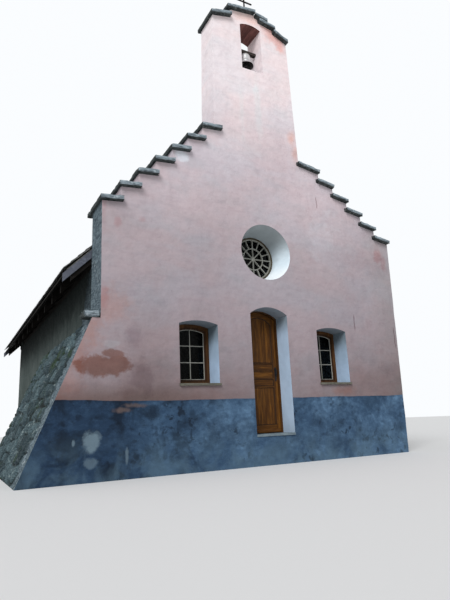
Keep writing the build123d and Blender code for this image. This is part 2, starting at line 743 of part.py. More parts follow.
with BuildPart() as door_leaf:
    with BuildSketch(front_plane(LEAF_DEPTH)):
        arched(LEAF_X, LEAF_HALF, LEAF_BOTTOM, LEAF_SPRING, DOOR_RISE)
    extrude(amount=-LEAF_THICK)
    for depth in (LEAF_DEPTH, LEAF_DEPTH + LEAF_THICK - PANEL_SINK):
        with BuildSketch(front_plane(depth)):
            with Locations((LEAF_X, LEAF_BOTTOM + FOOT_RAIL + LOWER_PANEL / 2)):
                Rectangle(2 * (LEAF_HALF - STILE), LOWER_PANEL)
            for i in range(BANDS):
                with Locations((LEAF_X, BAND_FOOT + BAND_GAP / 2 + i * (BAND + BAND_GAP) + BAND / 2)):
                    Rectangle(2 * (LEAF_HALF - STILE), BAND)
            panel_spring = LEAF_SPRING - STILE
            arched(LEAF_X, LEAF_HALF - STILE, UPPER_PANEL_FOOT, panel_spring, DOOR_RISE)
        extrude(amount=-PANEL_SINK, mode=Mode.SUBTRACT)
save(door_leaf, "door_leaf")

with BuildPart() as door_weatherboard:
    board_y = FRONT_Y + LEAF_DEPTH
    with BuildSketch(Plane(origin=(LEAF_X, 0, 0), x_dir=(0, 1, 0), z_dir=(1, 0, 0))):
        with BuildLine():
            foot = LEAF_BOTTOM + LEAF_GAP
            Polyline(
                (board_y, foot), (board_y - WEATHERBOARD_OUT, foot),
                (board_y - WEATHERBOARD_OUT, foot + WEATHERBOARD_OUT),
                (board_y, foot + WEATHERBOARD_HIGH),
                close=True,
            )
        make_face()
    extrude(amount=LEAF_HALF - LEAF_GAP, both=True)
save(door_weatherboard, "door_weatherboard")

# Hinges: each strap on the leaf has an eye that drops over a pin on the frame
HINGE_X = LEAF_LEFT + STRAP / 2 - EYE_R
INNER_FACE_Y = FRONT_Y + DOOR_REVEAL + FRAME_DEEP
HINGE_Y = INNER_FACE_Y + EYE_R + HINGE_GAP
HINGE_HEIGHTS = (FLOOR_TOP + LOWER_HINGE, FLOOR_TOP + UPPER_HINGE)

with BuildPart() as door_straps:
    for z in HINGE_HEIGHTS:
        strap_z = (z, z + STRAP_HIGH)
        block((LEAF_LEFT, LEAF_LEFT + STRAP_LONG), (INNER_FACE_Y, INNER_FACE_Y + STRAP), strap_z)
        block((LEAF_LEFT, LEAF_LEFT + STRAP), (INNER_FACE_Y, HINGE_Y + EYE_R), strap_z)
        with Locations((HINGE_X, HINGE_Y, z)):
            Cylinder(EYE_R, STRAP_HIGH, align=UPWARD)
            Cylinder(PIN_R + RUNNING, STRAP_HIGH, align=UPWARD, mode=Mode.SUBTRACT)
save(door_straps, "door_straps")

with BuildPart() as door_pintles:
    for z in HINGE_HEIGHTS:
        arm_top = z - HINGE_SEAT
        plate_x = (HINGE_X - PINTLE_PLATE, HINGE_X + PIN_R)
        block(plate_x, (INNER_FACE_Y, HINGE_Y + PIN_R), (arm_top - STRAP_HIGH, arm_top))
        with Locations((HINGE_X, HINGE_Y, arm_top)):
            Cylinder(PIN_R, STRAP_HIGH, align=UPWARD)
save(door_pintles, "door_pintles")

LOCK_X = LEAF_RIGHT - STILE / 2
LOCK_Z = (FLOOR_TOP + LOCK_FOOT, FLOOR_TOP + LOCK_FOOT + LOCK_HIGH)

with BuildPart() as door_lock:
    face_y = FRONT_Y + LEAF_DEPTH
    block((LOCK_X - LOCK_WIDE / 2, LOCK_X + LOCK_WIDE / 2), (face_y - LOCK_THICK, face_y), LOCK_Z)
    grip_z = (LOCK_Z[0] + GRIP_FOOT, LOCK_Z[1] - GRIP_HEAD)
    with BuildSketch(Plane(origin=(LOCK_X, 0, 0), x_dir=(0, 1, 0), z_dir=(1, 0, 0))):
        with BuildLine() as grip_line:
            FilletPolyline(
                (face_y - LOCK_THICK, grip_z[0]), (face_y - GRIP_OUT, grip_z[0]),
                (face_y - GRIP_OUT, grip_z[1]), (face_y - LOCK_THICK, grip_z[1]),
                radius=GRIP_BEND,
            )
            offset(amount=GRIP_THICK, side=Side.RIGHT, closed=True)
        make_face()
    extrude(amount=GRIP_WIDE / 2, both=True)
save(door_lock, "door_lock")

# Buttress: rubble that rakes out from under a ledge stone and runs back along the nave wall

CORNER_X = -HALF_LEFT
BUTTRESS_FOOT = HALF_LEFT + BUTTRESS_SHOULDER + BUTTRESS_TOP * tan(radians(BUTTRESS_RAKE))

with BuildPart() as buttress:
    with BuildSketch(front_plane()):
        with BuildLine():
            Polyline(
                (CORNER_X, 0), (CORNER_X, BUTTRESS_TOP),
                (CORNER_X - BUTTRESS_SHOULDER, BUTTRESS_TOP), (-BUTTRESS_FOOT, 0),
                close=True,
            )
        make_face()
    extrude(amount=-BUTTRESS_FOOT_DEEP)
    lean = degrees(atan2(BUTTRESS_FOOT_DEEP - BUTTRESS_TOP_DEEP, BUTTRESS_TOP))
    back_top = (CORNER_X, FRONT_Y + BUTTRESS_TOP_DEEP, BUTTRESS_TOP)
    back = Plane(origin=back_top, z_dir=(0, cos(radians(lean)), sin(radians(lean))))
    split(bisect_by=back, keep=Keep.BOTTOM)
save(buttress, "buttress")

with BuildPart() as buttress_capstone:
    block(
        (CORNER_X - CAPSTONE_OUT, CORNER_X),
        (FRONT_Y - CAPSTONE_NOSE, FRONT_Y + CAPSTONE_DEEP),
        (BUTTRESS_TOP, BUTTRESS_TOP + CAPSTONE),
    )
save(buttress_capstone, "buttress_capstone")
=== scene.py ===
# %% [markdown]
# # A small stone chapel
# The real building is rubble masonry under a pink render, with a steep shingled nave behind its stepped
# front. Its large forms come from a CAD model, which the first cell loads as a fixed frame, in metres. X
# runs along the front to the right, Y runs into the building and Z is up. Every cell after it adds a piece
# or a finish.

# %% Load the frame
from itertools import product
from math import cos, pi, radians, sin

import bmesh
import bpy
import numpy as np
from mathutils import Matrix, Vector


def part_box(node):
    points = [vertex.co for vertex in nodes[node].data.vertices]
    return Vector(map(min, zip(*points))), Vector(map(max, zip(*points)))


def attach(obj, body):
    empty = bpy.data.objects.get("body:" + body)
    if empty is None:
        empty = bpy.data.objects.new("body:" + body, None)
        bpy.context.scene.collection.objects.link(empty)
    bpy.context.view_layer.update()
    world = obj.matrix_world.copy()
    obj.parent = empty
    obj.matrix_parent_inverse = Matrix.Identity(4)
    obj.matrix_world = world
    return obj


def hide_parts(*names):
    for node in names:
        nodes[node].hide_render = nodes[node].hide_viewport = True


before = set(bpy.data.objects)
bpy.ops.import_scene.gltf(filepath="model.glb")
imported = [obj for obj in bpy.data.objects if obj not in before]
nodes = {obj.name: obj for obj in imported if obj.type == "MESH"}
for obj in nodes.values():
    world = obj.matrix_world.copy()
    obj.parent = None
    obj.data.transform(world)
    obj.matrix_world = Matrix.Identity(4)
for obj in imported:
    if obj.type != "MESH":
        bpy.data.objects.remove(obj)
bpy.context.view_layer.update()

# %% [markdown]
# ## The photograph's view
# The camera stands low and to the left, close to the building, so that the walls lean together towards the
# top. Its place and turn were found by lining up the front's straight edges and equal steps. The lens
# follows from the focal length in pixels, because Blender measures it against a film over the picture's
# longer side.

# %% Camera
CAMERA_PLACE = (-5.4925, -13.6241, 0.8467)
YAW, PITCH_UP, ROLL = radians(28.791), radians(13.372), radians(-2.614)
FOCAL_PIXELS, LONG_SIDE, FILM = 505.27, 600, 36.0


def camera_axes(yaw, pitch, roll):
    """Right, up and back of a camera turned by yaw from +Y, lifted by pitch and rolled about its view."""
    ahead = Vector((sin(yaw) * cos(pitch), cos(yaw) * cos(pitch), sin(pitch)))
    level = Vector((cos(yaw), -sin(yaw), 0))
    upright = level.cross(ahead)
    right = level * cos(roll) + upright * sin(roll)
    up = upright * cos(roll) - level * sin(roll)
    return right, up, -ahead


camera = bpy.data.objects.new("camera", bpy.data.cameras.new("camera"))
bpy.context.scene.collection.objects.link(camera)
camera_turn = Matrix(camera_axes(YAW, PITCH_UP, ROLL)).transposed().to_4x4()
camera.matrix_world = Matrix.Translation(CAMERA_PLACE) @ camera_turn
camera.data.sensor_width = FILM
camera.data.lens = FOCAL_PIXELS / LONG_SIDE * FILM
camera.data.clip_end = 300
bpy.context.scene.camera = camera
print("lens", round(camera.data.lens, 2), "mm")

# %% [markdown]
# ## Formulas made of nodes
# A material is a net of nodes, and most of them only add or multiply. Such a net is hard to follow when it
# is written node by node. Here a small class wraps a node's output, and each sign between two of them adds
# the Math node, so that a line such as (clouds - 0.5) * 2.2 reads as the formula that it is.

# %% Wires
class Wire:
    """An output socket that can stand in a formula: each +, - or * adds one Math node to its own tree."""

    def __init__(self, socket):
        self.socket = socket
        self.tree = socket.id_data

    def __add__(self, other):
        return calc("ADD", self, other)

    def __sub__(self, other):
        return calc("SUBTRACT", self, other)

    def __rsub__(self, other):
        return calc("SUBTRACT", other, self)

    def __mul__(self, other):
        return calc("MULTIPLY", self, other)

    def __abs__(self):
        return calc("ABSOLUTE", self)


def feed(socket, value):
    """Link an input to a wire or give it a plain value; the three numbers of a colour get an alpha of 1."""
    if isinstance(value, Wire):
        socket.id_data.links.new(value.socket, socket)
    else:
        socket.default_value = (*value, 1) if socket.type == "RGBA" else value


def node(tree, kind, wires=None, **settings):
    """Add one node: settings are its own properties, wires its inputs by name or number."""
    made = tree.nodes.new(kind)
    for name, value in settings.items():
        setattr(made, name, value)
    for name, value in (wires or {}).items():
        feed(made.inputs[name], value)
    return made


def tree_of(*values):
    """The tree of the first wire among some values."""
    return next(value.tree for value in values if isinstance(value, Wire))


def calc(operation, *values):
    """One Math node on wires and numbers, of which at least one is a wire."""
    made = node(tree_of(*values), "ShaderNodeMath", dict(enumerate(values)), operation=operation)
    return Wire(made.outputs[0])


def vector(operation, *values):
    """One Vector Math node on wires and triples."""
    made = node(tree_of(*values), "ShaderNodeVectorMath", dict(enumerate(values)), operation=operation)
    return Wire(made.outputs[0])


print("signs that make nodes: +, -, * and abs")

# %% [markdown]
# ## A plain studio
# The surroundings are left out. A pale floor carries the shadow, an even white world lights every side
# softly, and one broad sun from the front left shapes the reliefs. What the camera and the glass see of the
# world is plain white, which the Light Path node sorts out without adding light to the object.

# %% World and sun
WORLD_LIGHT, WORLD_SEEN = 0.52, 1.0
SKY_WHITE = (0.96, 0.98, 1)
SUN_LIGHT, SUN_SPREAD = 2.3, radians(30)
SUN_TURN = (radians(50), 0, radians(-43))

world = bpy.data.worlds.new("studio")
bpy.context.scene.world = world
world.use_nodes = True
world.node_tree.nodes.clear()
rays = node(world.node_tree, "ShaderNodeLightPath").outputs
seen = calc("MAXIMUM", Wire(rays["Is Camera Ray"]), Wire(rays["Is Transmission Ray"]))
brightness = {"Value": seen, "To Min": WORLD_LIGHT, "To Max": WORLD_SEEN}
light = node(world.node_tree, "ShaderNodeMapRange", brightness)
sky = node(world.node_tree, "ShaderNodeBackground", {"Color": SKY_WHITE, "Strength": Wire(light.outputs[0])})
node(world.node_tree, "ShaderNodeOutputWorld", {"Surface": Wire(sky.outputs[0])})

sun = bpy.data.objects.new("sun", bpy.data.lights.new("sun", "SUN"))
sun.data.energy = SUN_LIGHT
sun.data.angle = SUN_SPREAD
sun.rotation_euler = SUN_TURN
bpy.context.scene.collection.objects.link(sun)
bpy.context.scene.view_settings.view_transform = "Standard"
print("world", WORLD_LIGHT, "sun", SUN_LIGHT)

# %% Floor
FLOOR_HALF = 60.0
FLOOR_GREY, FLOOR_ROUGHNESS = (0.72, 0.72, 0.72), 0.9

floor_mesh = bpy.data.meshes.new("floor")
floor_corners = [(x * FLOOR_HALF, y * FLOOR_HALF, 0) for x, y in ((-1, -1), (1, -1), (1, 1), (-1, 1))]
floor_mesh.from_pydata(floor_corners, [], [(0, 1, 2, 3)])
floor = bpy.data.objects.new("floor", floor_mesh)
bpy.context.scene.collection.objects.link(floor)
floor_paint = bpy.data.materials.new("studio_floor")
floor_paint.use_nodes = True
floor_shader = floor_paint.node_tree.nodes["Principled BSDF"]
feed(floor_shader.inputs["Base Color"], FLOOR_GREY)
feed(floor_shader.inputs["Roughness"], FLOOR_ROUGHNESS)
floor_mesh.materials.append(floor_paint)
print("floor", 2 * FLOOR_HALF, "m wide")

# %% [markdown]
# ## Random numbers that are the same each run
# Weather and hand work are irregular but not wild. All of it here comes from one function of position: a
# random value at each corner of a grid of cubes, blended smoothly between the corners. Two pieces that meet
# ask for the same place, get the same value, and so stay joined.

# %% Noise of position
HASH = np.array([127.1, 311.7, 74.7])
SEED_STEP, HASH_SPREAD = 17.23, 43758.5453
CORNERS = np.array(list(product((0, 1), repeat=3)))


def chance(cells, seed):
    """A number from 0 to 1 for each row of whole numbers: the fraction of a large multiple of a sine."""
    wave = np.sin(cells @ HASH + SEED_STEP * seed) * HASH_SPREAD
    return wave - np.floor(wave)


def noise(points, scale, seed):
    """Height from -1 to 1: chance at the corners of unit cubes, blended along each axis by 3t² - 2t³."""
    scaled = points * scale
    base = np.floor(scaled)
    share = scaled - base
    share = share * share * (3 - 2 * share)
    total = np.zeros(len(points))
    for corner in CORNERS:
        total += np.prod(np.where(corner, share, 1 - share), axis=1) * chance(base + corner, seed)
    return 2 * total - 1


def rough(points, scale, seed):
    """Sum of three noises, each at double the scale and half the height of the one before."""
    return sum(noise(points, scale * 2 ** k, seed + k) / 2 ** k for k in range(3))


def smooth_step(value, low, high):
    """0 below low and 1 above high, with the blend 3t² - 2t³ between."""
    t = np.clip((value - low) / (high - low), 0, 1)
    return t * t * (3 - 2 * t)


print("noise at the threshold:", round(float(noise(np.array([[0.3, -5.4, 0.56]]), 1.0, 0)[0]), 3))

# %% [markdown]
# ## Meshes from arrays
# A grid of points becomes a surface by joining each point to its neighbours. The index arrays are worked
# out in one step and handed to Blender with foreach_set, which is far quicker than a loop. Objects stay at
# the origin: their place is in their points, so that patterns on Object coordinates fit from one piece to
# the next.

# %% Pieces and meshes
MATERIAL = {}


def piece(name, mesh, materials, body="root", replaces=(), sharp=35):
    """Link a mesh as an object that rides on a body; edges sharper than an angle in degrees stay crisp."""
    made = bpy.data.objects.new(name, mesh)
    mesh.name = name
    bpy.context.scene.collection.objects.link(made)
    for key in materials:
        mesh.materials.append(MATERIAL[key])
    if "custom_normal" in mesh.attributes:
        mesh.attributes.remove(mesh.attributes["custom_normal"])
    mesh.shade_smooth()
    mesh.set_sharp_from_angle(angle=radians(sharp))
    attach(made, body)
    if replaces:
        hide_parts(*replaces)


def mesh_of(points, faces):
    """Mesh from an array of points and an array of faces with the same number of corners each."""
    mesh = bpy.data.meshes.new("mesh")
    count, corners = faces.shape
    mesh.vertices.add(len(points))
    mesh.vertices.foreach_set("co", np.asarray(points, np.float32).ravel())
    mesh.loops.add(faces.size)
    mesh.loops.foreach_set("vertex_index", faces.astype(np.int32).ravel())
    mesh.polygons.add(count)
    mesh.polygons.foreach_set("loop_start", np.arange(0, faces.size, corners, dtype=np.int32))
    mesh.update(calc_edges=True)
    mesh.validate()
    return mesh


def tag(mesh, name, values):
    """Store one number for each point, to be read by a material."""
    attribute = mesh.attributes.new(name, "FLOAT", "POINT")
    attribute.data.foreach_set("value", np.asarray(values, np.float32))


def joined(parts):
    """Stack (points, faces) pairs into one, with each set of face numbers moved past the points before it."""
    starts = np.cumsum([0] + [len(points) for points, _ in parts[:-1]])
    moved = [faces + start for (_, faces), start in zip(parts, starts)]
    return np.concatenate([points for points, _ in parts]), np.concatenate(moved)


# %% Copies of CAD nodes
MERGE, FLAT_ANGLE = 1e-5, 0.01


def merged_copy(name):
    """A bmesh of a CAD node whose loose triangles are joined and whose flat faces are whole again."""
    work = bmesh.new()
    work.from_mesh(nodes[name].data)
    bmesh.ops.remove_doubles(work, verts=work.verts, dist=MERGE)
    bmesh.ops.dissolve_limit(work, angle_limit=FLAT_ANGLE, verts=work.verts, edges=work.edges)
    return work


def solids_of(name):
    """The points of each separate solid in a CAD node, as a list of arrays."""
    work = merged_copy(name)
    left, found = set(work.verts), []
    while left:
        group, edge = set(), {left.pop()}
        while edge:
            group |= edge
            edge = {e.other_vert(v) for v in edge for e in v.link_edges} - group
        left -= group
        found.append(np.array([v.co for v in group]))
    work.free()
    return sorted(found, key=lambda points: tuple(points.mean(0).round(3)))


print("slabs found on the left steps:", len(solids_of("step_slabs_left")))

# %% [markdown]
# ## Words for the looks
# Paint and stone are described below in a few words of their own: a band is where a value passes from one
# limit to another, a blend lays one colour over another, and a wash multiplies a colour, as a thin coat
# does. Blender has a node for each, and a function that places it keeps the recipes short.

# %% Words that place nodes
def noise_node(place, scale, detail=3.0, roughness=0.55, distortion=0.0):
    """The Noise texture's grey value, from about 0.25 to 0.75."""
    wires = {"Vector": place, "Scale": scale, "Detail": detail, "Roughness": roughness,
             "Distortion": distortion}
    return Wire(node(place.tree, "ShaderNodeTexNoise", wires).outputs["Fac"])


def wander(place, amount, scale, detail=3.0, roughness=0.55):
    """Noise round 0, up to about a quarter of the amount either way."""
    return (noise_node(place, scale, detail, roughness) - 0.5) * amount


def band(value, low, high, out_low=0.0, out_high=1.0):
    """Map low..high to out_low..out_high with soft ends."""
    wires = {"Value": value, "From Min": low, "From Max": high, "To Min": out_low, "To Max": out_high}
    return Wire(node(value.tree, "ShaderNodeMapRange", wires, interpolation_type="SMOOTHSTEP").outputs[0])


def blend(share, first, second):
    """Mix two colours by a share from 0 to 1."""
    wires = {0: share, 6: first, 7: second}
    return Wire(node(tree_of(*wires.values()), "ShaderNodeMix", wires, data_type="RGBA").outputs[2])


def daubed(tint, *daubs):
    """A colour with others laid over it one after another; each daub is (share, colour)."""
    for share, over in daubs:
        tint = blend(share, tint, over)
    return tint


def washed(tint, *coats):
    """A colour multiplied by one factor after another; each coat is (share, factors for red, green, blue)."""
    for share, factor in coats:
        tint = vector("MULTIPLY", tint, blend(share, (1.0, 1.0, 1.0), factor))
    return tint


def squeezed(place, rise):
    """The place with its height multiplied, so that a pattern on it lies flat."""
    return vector("MULTIPLY", place, (1.0, 1.0, rise))


def axes_of(place):
    """The three coordinates of a place, each as a wire."""
    return [Wire(output) for output in node(place.tree, "ShaderNodeSeparateXYZ", {0: place}).outputs]


print("words ready:", ", ".join(word.__name__ for word in (wander, band, blend, daubed, washed, squeezed)))

# %% Words that place groups
def new_group(name, sockets):
    """A shader group: sockets are (name, type, default), and an output is one whose default is None. Returns
    the group, its inputs as wires by name and its output sockets."""
    group = bpy.data.node_groups.new(name, "ShaderNodeTree")
    for label, kind, default in sockets:
        flow = "OUTPUT" if default is None else "INPUT"
        socket = group.interface.new_socket(name=label, in_out=flow, socket_type="NodeSocket" + kind)
        if default is not None and kind != "Vector":
            socket.default_value = default
    take = {socket.name: Wire(socket) for socket in node(group, "NodeGroupInput").outputs}
    return group, take, node(group, "NodeGroupOutput").inputs


def use(group, place, **values):
    """Set a group at a place, other inputs by name with _ for a space, and return its outputs as wires."""
    made = node(place.tree, "ShaderNodeGroup", node_tree=group)
    feed(made.inputs["Vector"], place)
    for name, value in values.items():
        feed(made.inputs[name.replace("_", " ")], value)
    return {output.name: Wire(output) for output in made.outputs}


print("groups so far:", len(bpy.data.node_groups))

# %% [markdown]
# ## Finishes shared by several materials
# Plaster, stone and timber show the same few effects over and over: soft blotches, runs of dirt below an
# edge and ragged patches. Each is one node group with named sockets, built once and placed in a material
# with values of its own. The groups put out masks, heights and colours, and the shader stays in the
# material.

# %% Blotches, runs and patches
BLOTCHES, take, give = new_group("Blotches", [
    ("Vector", "Vector", 0), ("Scale", "Float", 1.0), ("Spread", "Float", 0.18), ("Cover", "Float", 0.5),
    ("Mask", "Float", None)])
middle = 1.0 - take["Cover"]
clouds = noise_node(take["Vector"], take["Scale"], 5.0, 0.6, 0.4)
feed(give["Mask"], band(clouds, middle - take["Spread"], middle + take["Spread"]))

RUNS, take, give = new_group("Runs of dirt", [
    ("Vector", "Vector", 0), ("Scale", "Float", 9.0), ("Length", "Float", 0.12), ("Mask", "Float", None)])
tall = node(RUNS, "ShaderNodeCombineXYZ", {"X": 1.0, "Y": 1.0, "Z": take["Length"]})
streaks = noise_node(vector("MULTIPLY", take["Vector"], Wire(tall.outputs[0])), take["Scale"], 4.0, 0.6)
breaks = noise_node(take["Vector"], 1.3)
feed(give["Mask"], band(streaks, 0.48, 0.68) * band(breaks, 0.42, 0.62))

PATCH, take, give = new_group("Ragged patch", [
    ("Vector", "Vector", 0), ("Centre", "Vector", 0), ("Size", "Vector", 0), ("Ragged", "Float", 0.5),
    ("Soft", "Float", 0.2), ("Mask", "Float", None)])
away = vector("DIVIDE", vector("SUBTRACT", take["Vector"], take["Centre"]), take["Size"])
reach = Wire(node(PATCH, "ShaderNodeVectorMath", {0: away}, operation="LENGTH").outputs["Value"])
ragged = wander(take["Vector"], take["Ragged"], 4.0, 7.0, 0.7) * 7.0
feed(give["Mask"], band(reach + ragged, take["Soft"] + 1.0, 1.0 - take["Soft"]))
print("groups:", [group.name for group in bpy.data.node_groups])


# %% Blotches in one word
def blotches(place, scale, spread, cover):
    """Mask of soft clouds: scale is how many to a metre, spread how soft, cover how much of the whole."""
    return use(BLOTCHES, place, Scale=scale, Spread=spread, Cover=cover)["Mask"]


print("blotches take:", [socket.name for socket in BLOTCHES.interface.items_tree])

# %% [markdown]
# ## Plaster relief, stone and grain
# Trowelled render has slow waves a hand's breadth apart, sand grains and a few pits. Split schist and field
# stones show bedding lines, mineral specks and pale lichen. Sawn timber has long grain that wanders a
# little and differs from board to board. The heights feed a Bump node in each material, the colours its
# base.

# %% Plaster relief
RELIEF, take, give = new_group("Plaster relief", [
    ("Vector", "Vector", 0), ("Waves", "Float", 1.0), ("Sand", "Float", 1.0), ("Height", "Float", None)])
waves = noise_node(take["Vector"], 5.0, 4.0) * take["Waves"]
sand = noise_node(take["Vector"], 150.0, 2.0, 0.6) * take["Sand"]
pits = band(noise_node(take["Vector"], 38.0, 3.0, 0.5), 0.33, 0.25)
feed(give["Height"], waves + sand * 0.10 - pits * 0.12)


def relief(place, waves, sand):
    """Height of trowelled plaster, with more or less of its waves and its sand."""
    return use(RELIEF, place, Waves=waves, Sand=sand)["Height"]


print("relief nodes:", len(RELIEF.nodes))

# %% Split stone
STONE, take, give = new_group("Split stone", [
    ("Vector", "Vector", 0), ("Dark", "Color", (0.05, 0.06, 0.06, 1)), ("Light", "Color", (0.2, 0.2, 0.2, 1)),
    ("Lichen", "Color", (0.4, 0.42, 0.36, 1)), ("Lichen cover", "Float", 0.35), ("Bedding", "Float", 1.0),
    ("Color", "Color", None), ("Height", "Float", None)])
beds = noise_node(squeezed(take["Vector"], 7.0), 7.0, 5.0, 0.65, 0.6)
specks = noise_node(take["Vector"], 60.0, 4.0, 0.7)
stone_body = blend(band(beds * 0.7 + specks * 0.3, 0.36, 0.64), take["Dark"], take["Light"])
cells = node(STONE, "ShaderNodeTexVoronoi", {"Vector": take["Vector"], "Scale": 14.0})
field = noise_node(take["Vector"], 3.1, 4.0, 0.6) + (take["Lichen cover"] - 0.5)
lichen = band(Wire(cells.outputs["Distance"]), 0.42, 0.22) * band(field, 0.42, 0.6)
feed(give["Color"], blend(lichen, stone_body, take["Lichen"]))
feed(give["Height"], beds * take["Bedding"] * 0.8 + specks * 0.35)


def split_stone(place, dark, light, lichen, cover, bedding):
    """Colour and height of a bedded stone with lichen over a share of it."""
    stone = use(STONE, place, Dark=dark, Light=light, Lichen=lichen, Lichen_cover=cover, Bedding=bedding)
    return stone["Color"], stone["Height"]


print("stone nodes:", len(STONE.nodes))

# %% Timber grain
BOARD_SHIFT = {"X": 13.0, "Y": 7.0, "Z": 3.0}
GRAIN, take, give = new_group("Timber grain", [
    ("Vector", "Vector", 0), ("Stretch", "Vector", 0), ("Tone", "Float", 0.5),
    ("Dark", "Color", (0.1, 0.05, 0.02, 1)), ("Light", "Color", (0.3, 0.15, 0.06, 1)),
    ("Contrast", "Float", 1.0), ("Color", "Color", None), ("Height", "Float", None)])
shift = node(GRAIN, "ShaderNodeCombineXYZ", {axis: take["Tone"] * far for axis, far in BOARD_SHIFT.items()})
along = vector("MULTIPLY", vector("ADD", take["Vector"], Wire(shift.outputs[0])), take["Stretch"])
fibres, rings = noise_node(along, 70.0, 3.0, 0.6, 0.3), noise_node(along, 14.0, 4.0, 0.5, 1.2)
lines = fibres * 0.45 + rings * 0.55
grain_share = band(lines + (take["Tone"] - 0.5) * 0.16, 0.36, 0.64)
feed(give["Color"], blend(grain_share * take["Contrast"], take["Dark"], take["Light"]))
feed(give["Height"], lines)
print("grain nodes:", len(GRAIN.nodes))

# %% [markdown]
# ## From a recipe to a material
# Each finish below is a recipe, a function that is given the place on the object and the shader to feed.
# One helper makes the material round it. A second feeds what nearly every finish has: a colour, a height
# that bends the light without moving the surface, a roughness and how strongly it mirrors.

# %% Material helpers
def material(name, recipe):
    """A Principled material: recipe(place, shader) feeds it, place being the Object coordinates."""
    made = bpy.data.materials.new(name)
    made.use_nodes = True
    place = Wire(node(made.node_tree, "ShaderNodeTexCoord").outputs["Object"])
    recipe(place, made.node_tree.nodes["Principled BSDF"])
    MATERIAL[name] = made


def cover(shader, tint, height, depth, roughness, gloss=0.5, metallic=0.0):
    """Feed a shader with a colour and a height, depth metres deep for each unit of height."""
    bump = node(shader.id_data, "ShaderNodeBump", {"Height": height, "Distance": depth})
    for name, value in (("Base Color", tint), ("Normal", Wire(bump.outputs[0])), ("Roughness", roughness),
                        ("Specular IOR Level", gloss), ("Metallic", metallic)):
        feed(shader.inputs[name], value)


def stored(place, name):
    """A number stored on the points of the mesh."""
    return Wire(node(place.tree, "ShaderNodeAttribute", attribute_name=name).outputs["Fac"])


def facing(place):
    """The direction in which the surface looks, as three wires."""
    return axes_of(Wire(node(place.tree, "ShaderNodeNewGeometry").outputs["Normal"]))


print("materials so far:", len(MATERIAL))

# %% [markdown]
# ## Render on the front
# The front wears a pink limewash over lime render, brushed on in thin coats. It has bleached unevenly:
# nearly white on the bell gable, where sun and driving rain reach it most, and a deeper, dirtier pink low
# down. On top of that the pink carries painted light and shade: brighter towards the top, darker low down.
# Rust coloured stains run from under the slabs and the ledge, and by the left corner an older, browner
# coat shows through. Below 1.22 m a slate blue dado keeps the splash of rain off the pink; towards its left
# end it is darkened as painted shade. A painted picture could carry all this, but noise and a few placed
# patches stay sharp from near by, so the marks are a short list.

# %% Marks on the pink
FACADE_Y = -5.41
# pink by height: bleaching, and painted light that is brighter high up and darker low down
PINK_AND_LIGHT_BY_HEIGHT = [(1.2, (0.215, 0.172, 0.180)), (1.9, (0.298, 0.258, 0.280)), (2.9, (0.350, 0.315, 0.348)),
             (4.4, (0.435, 0.388, 0.422)), (6.0, (0.600, 0.540, 0.585)), (8.0, (0.86, 0.785, 0.815)),
             (9.9, (0.92, 0.845, 0.865))]
MARKS = [
    # factor for the pink, softness, then spots: centre x, z, half width, half height, strength, raggedness
    ((0.64, 0.44, 0.37), 0.2, [(-3.36, 1.79, 0.37, 0.18, 1.0, 0.26), (-3.06, 1.84, 0.22, 0.14, 1.0, 0.26),
                               (-3.12, 2.00, 0.20, 0.07, 0.9, 0.30)]),
    ((0.74, 0.70, 0.73), 0.6, [(-2.62, 1.58, 0.16, 0.25, 0.7, 0.60), (-2.75, 1.34, 0.22, 0.10, 0.4, 0.60),
                               (2.60, 4.20, 0.70, 0.26, 0.3, 0.70), (-2.76, 2.30, 0.14, 0.17, 0.7, 0.40),
                               (3.14, 1.80, 0.20, 0.12, 0.4, 0.50)]),
    ((1.08, 0.68, 0.53), 0.8, [(-3.56, 2.42, 0.20, 0.26, 0.55, 0.50), (-3.72, 2.12, 0.14, 0.40, 0.5, 0.50),
                               (-3.24, 2.80, 0.34, 0.24, 0.4, 0.60), (-3.95, 1.55, 0.22, 0.34, 0.4, 0.50),
                               (1.72, 1.34, 0.26, 0.07, 0.5, 0.50), (0.02, 9.84, 0.45, 0.13, 0.45, 0.50),
                               (0.93, 6.95, 0.10, 0.17, 0.6, 0.40), (1.00, 6.62, 0.09, 0.20, 0.5, 0.40)]),
    ((0.92, 0.68, 0.67), 0.6, [(-3.07, 4.36, 0.06, 0.10, 0.6, 0.40), (-3.30, 3.00, 0.07, 0.16, 0.6, 0.40),
                               (-2.60, 4.46, 0.06, 0.05, 0.5, 0.40), (3.18, 4.42, 0.12, 0.16, 0.8, 0.55),
                               (3.32, 4.28, 0.08, 0.14, 0.7, 0.50), (-3.32, 4.90, 0.05, 0.60, 0.4, 0.50)]),
    ((1.25, 1.42, 1.42), 0.3, [(-1.80, 5.94, 0.12, 0.16, 0.9, 0.35), (1.68, 6.28, 0.08, 0.07, 0.8, 0.40),
                               (-3.16, 2.17, 0.13, 0.05, 0.4, 0.50), (1.55, 4.70, 0.35, 0.45, 0.2, 0.80)]),
    ((0.97, 1.06, 1.05), 0.6, [(0.07, 7.60, 0.08, 0.85, 0.9, 0.40), (-0.35, 7.30, 0.05, 0.50, 0.6, 0.50)]),
]


def spots_of(place, soft, spots):
    """Ragged spots on the front as one mask: the strongest of them counts."""
    mask = 0.0
    for x, z, wide, tall, force, ragged in spots:
        spot = use(PATCH, place, Centre=(x, FACADE_Y, z), Size=(wide, 9.0, tall), Ragged=ragged, Soft=soft)
        mask = calc("MAXIMUM", mask, spot["Mask"] * force)
    return mask


print("spots on the pink:", sum(len(spots) for _, _, spots in MARKS))


# %% Bleached pink
def ramp(value, stops):
    """Colours at given places along a value, blended evenly between them; stops are (place, colour)."""
    low, high = stops[0][0], stops[-1][0]
    share = node(value.tree, "ShaderNodeMapRange", {"Value": value, "From Min": low, "From Max": high})
    made = node(value.tree, "ShaderNodeValToRGB", {"Fac": Wire(share.outputs[0])})
    points = made.color_ramp.elements
    while len(points) < len(stops):
        points.new(0.5)
    for point, (place, tint) in zip(points, stops):
        point.position = (place - low) / (high - low)
        point.color = (*tint, 1)
    return Wire(made.outputs["Color"])


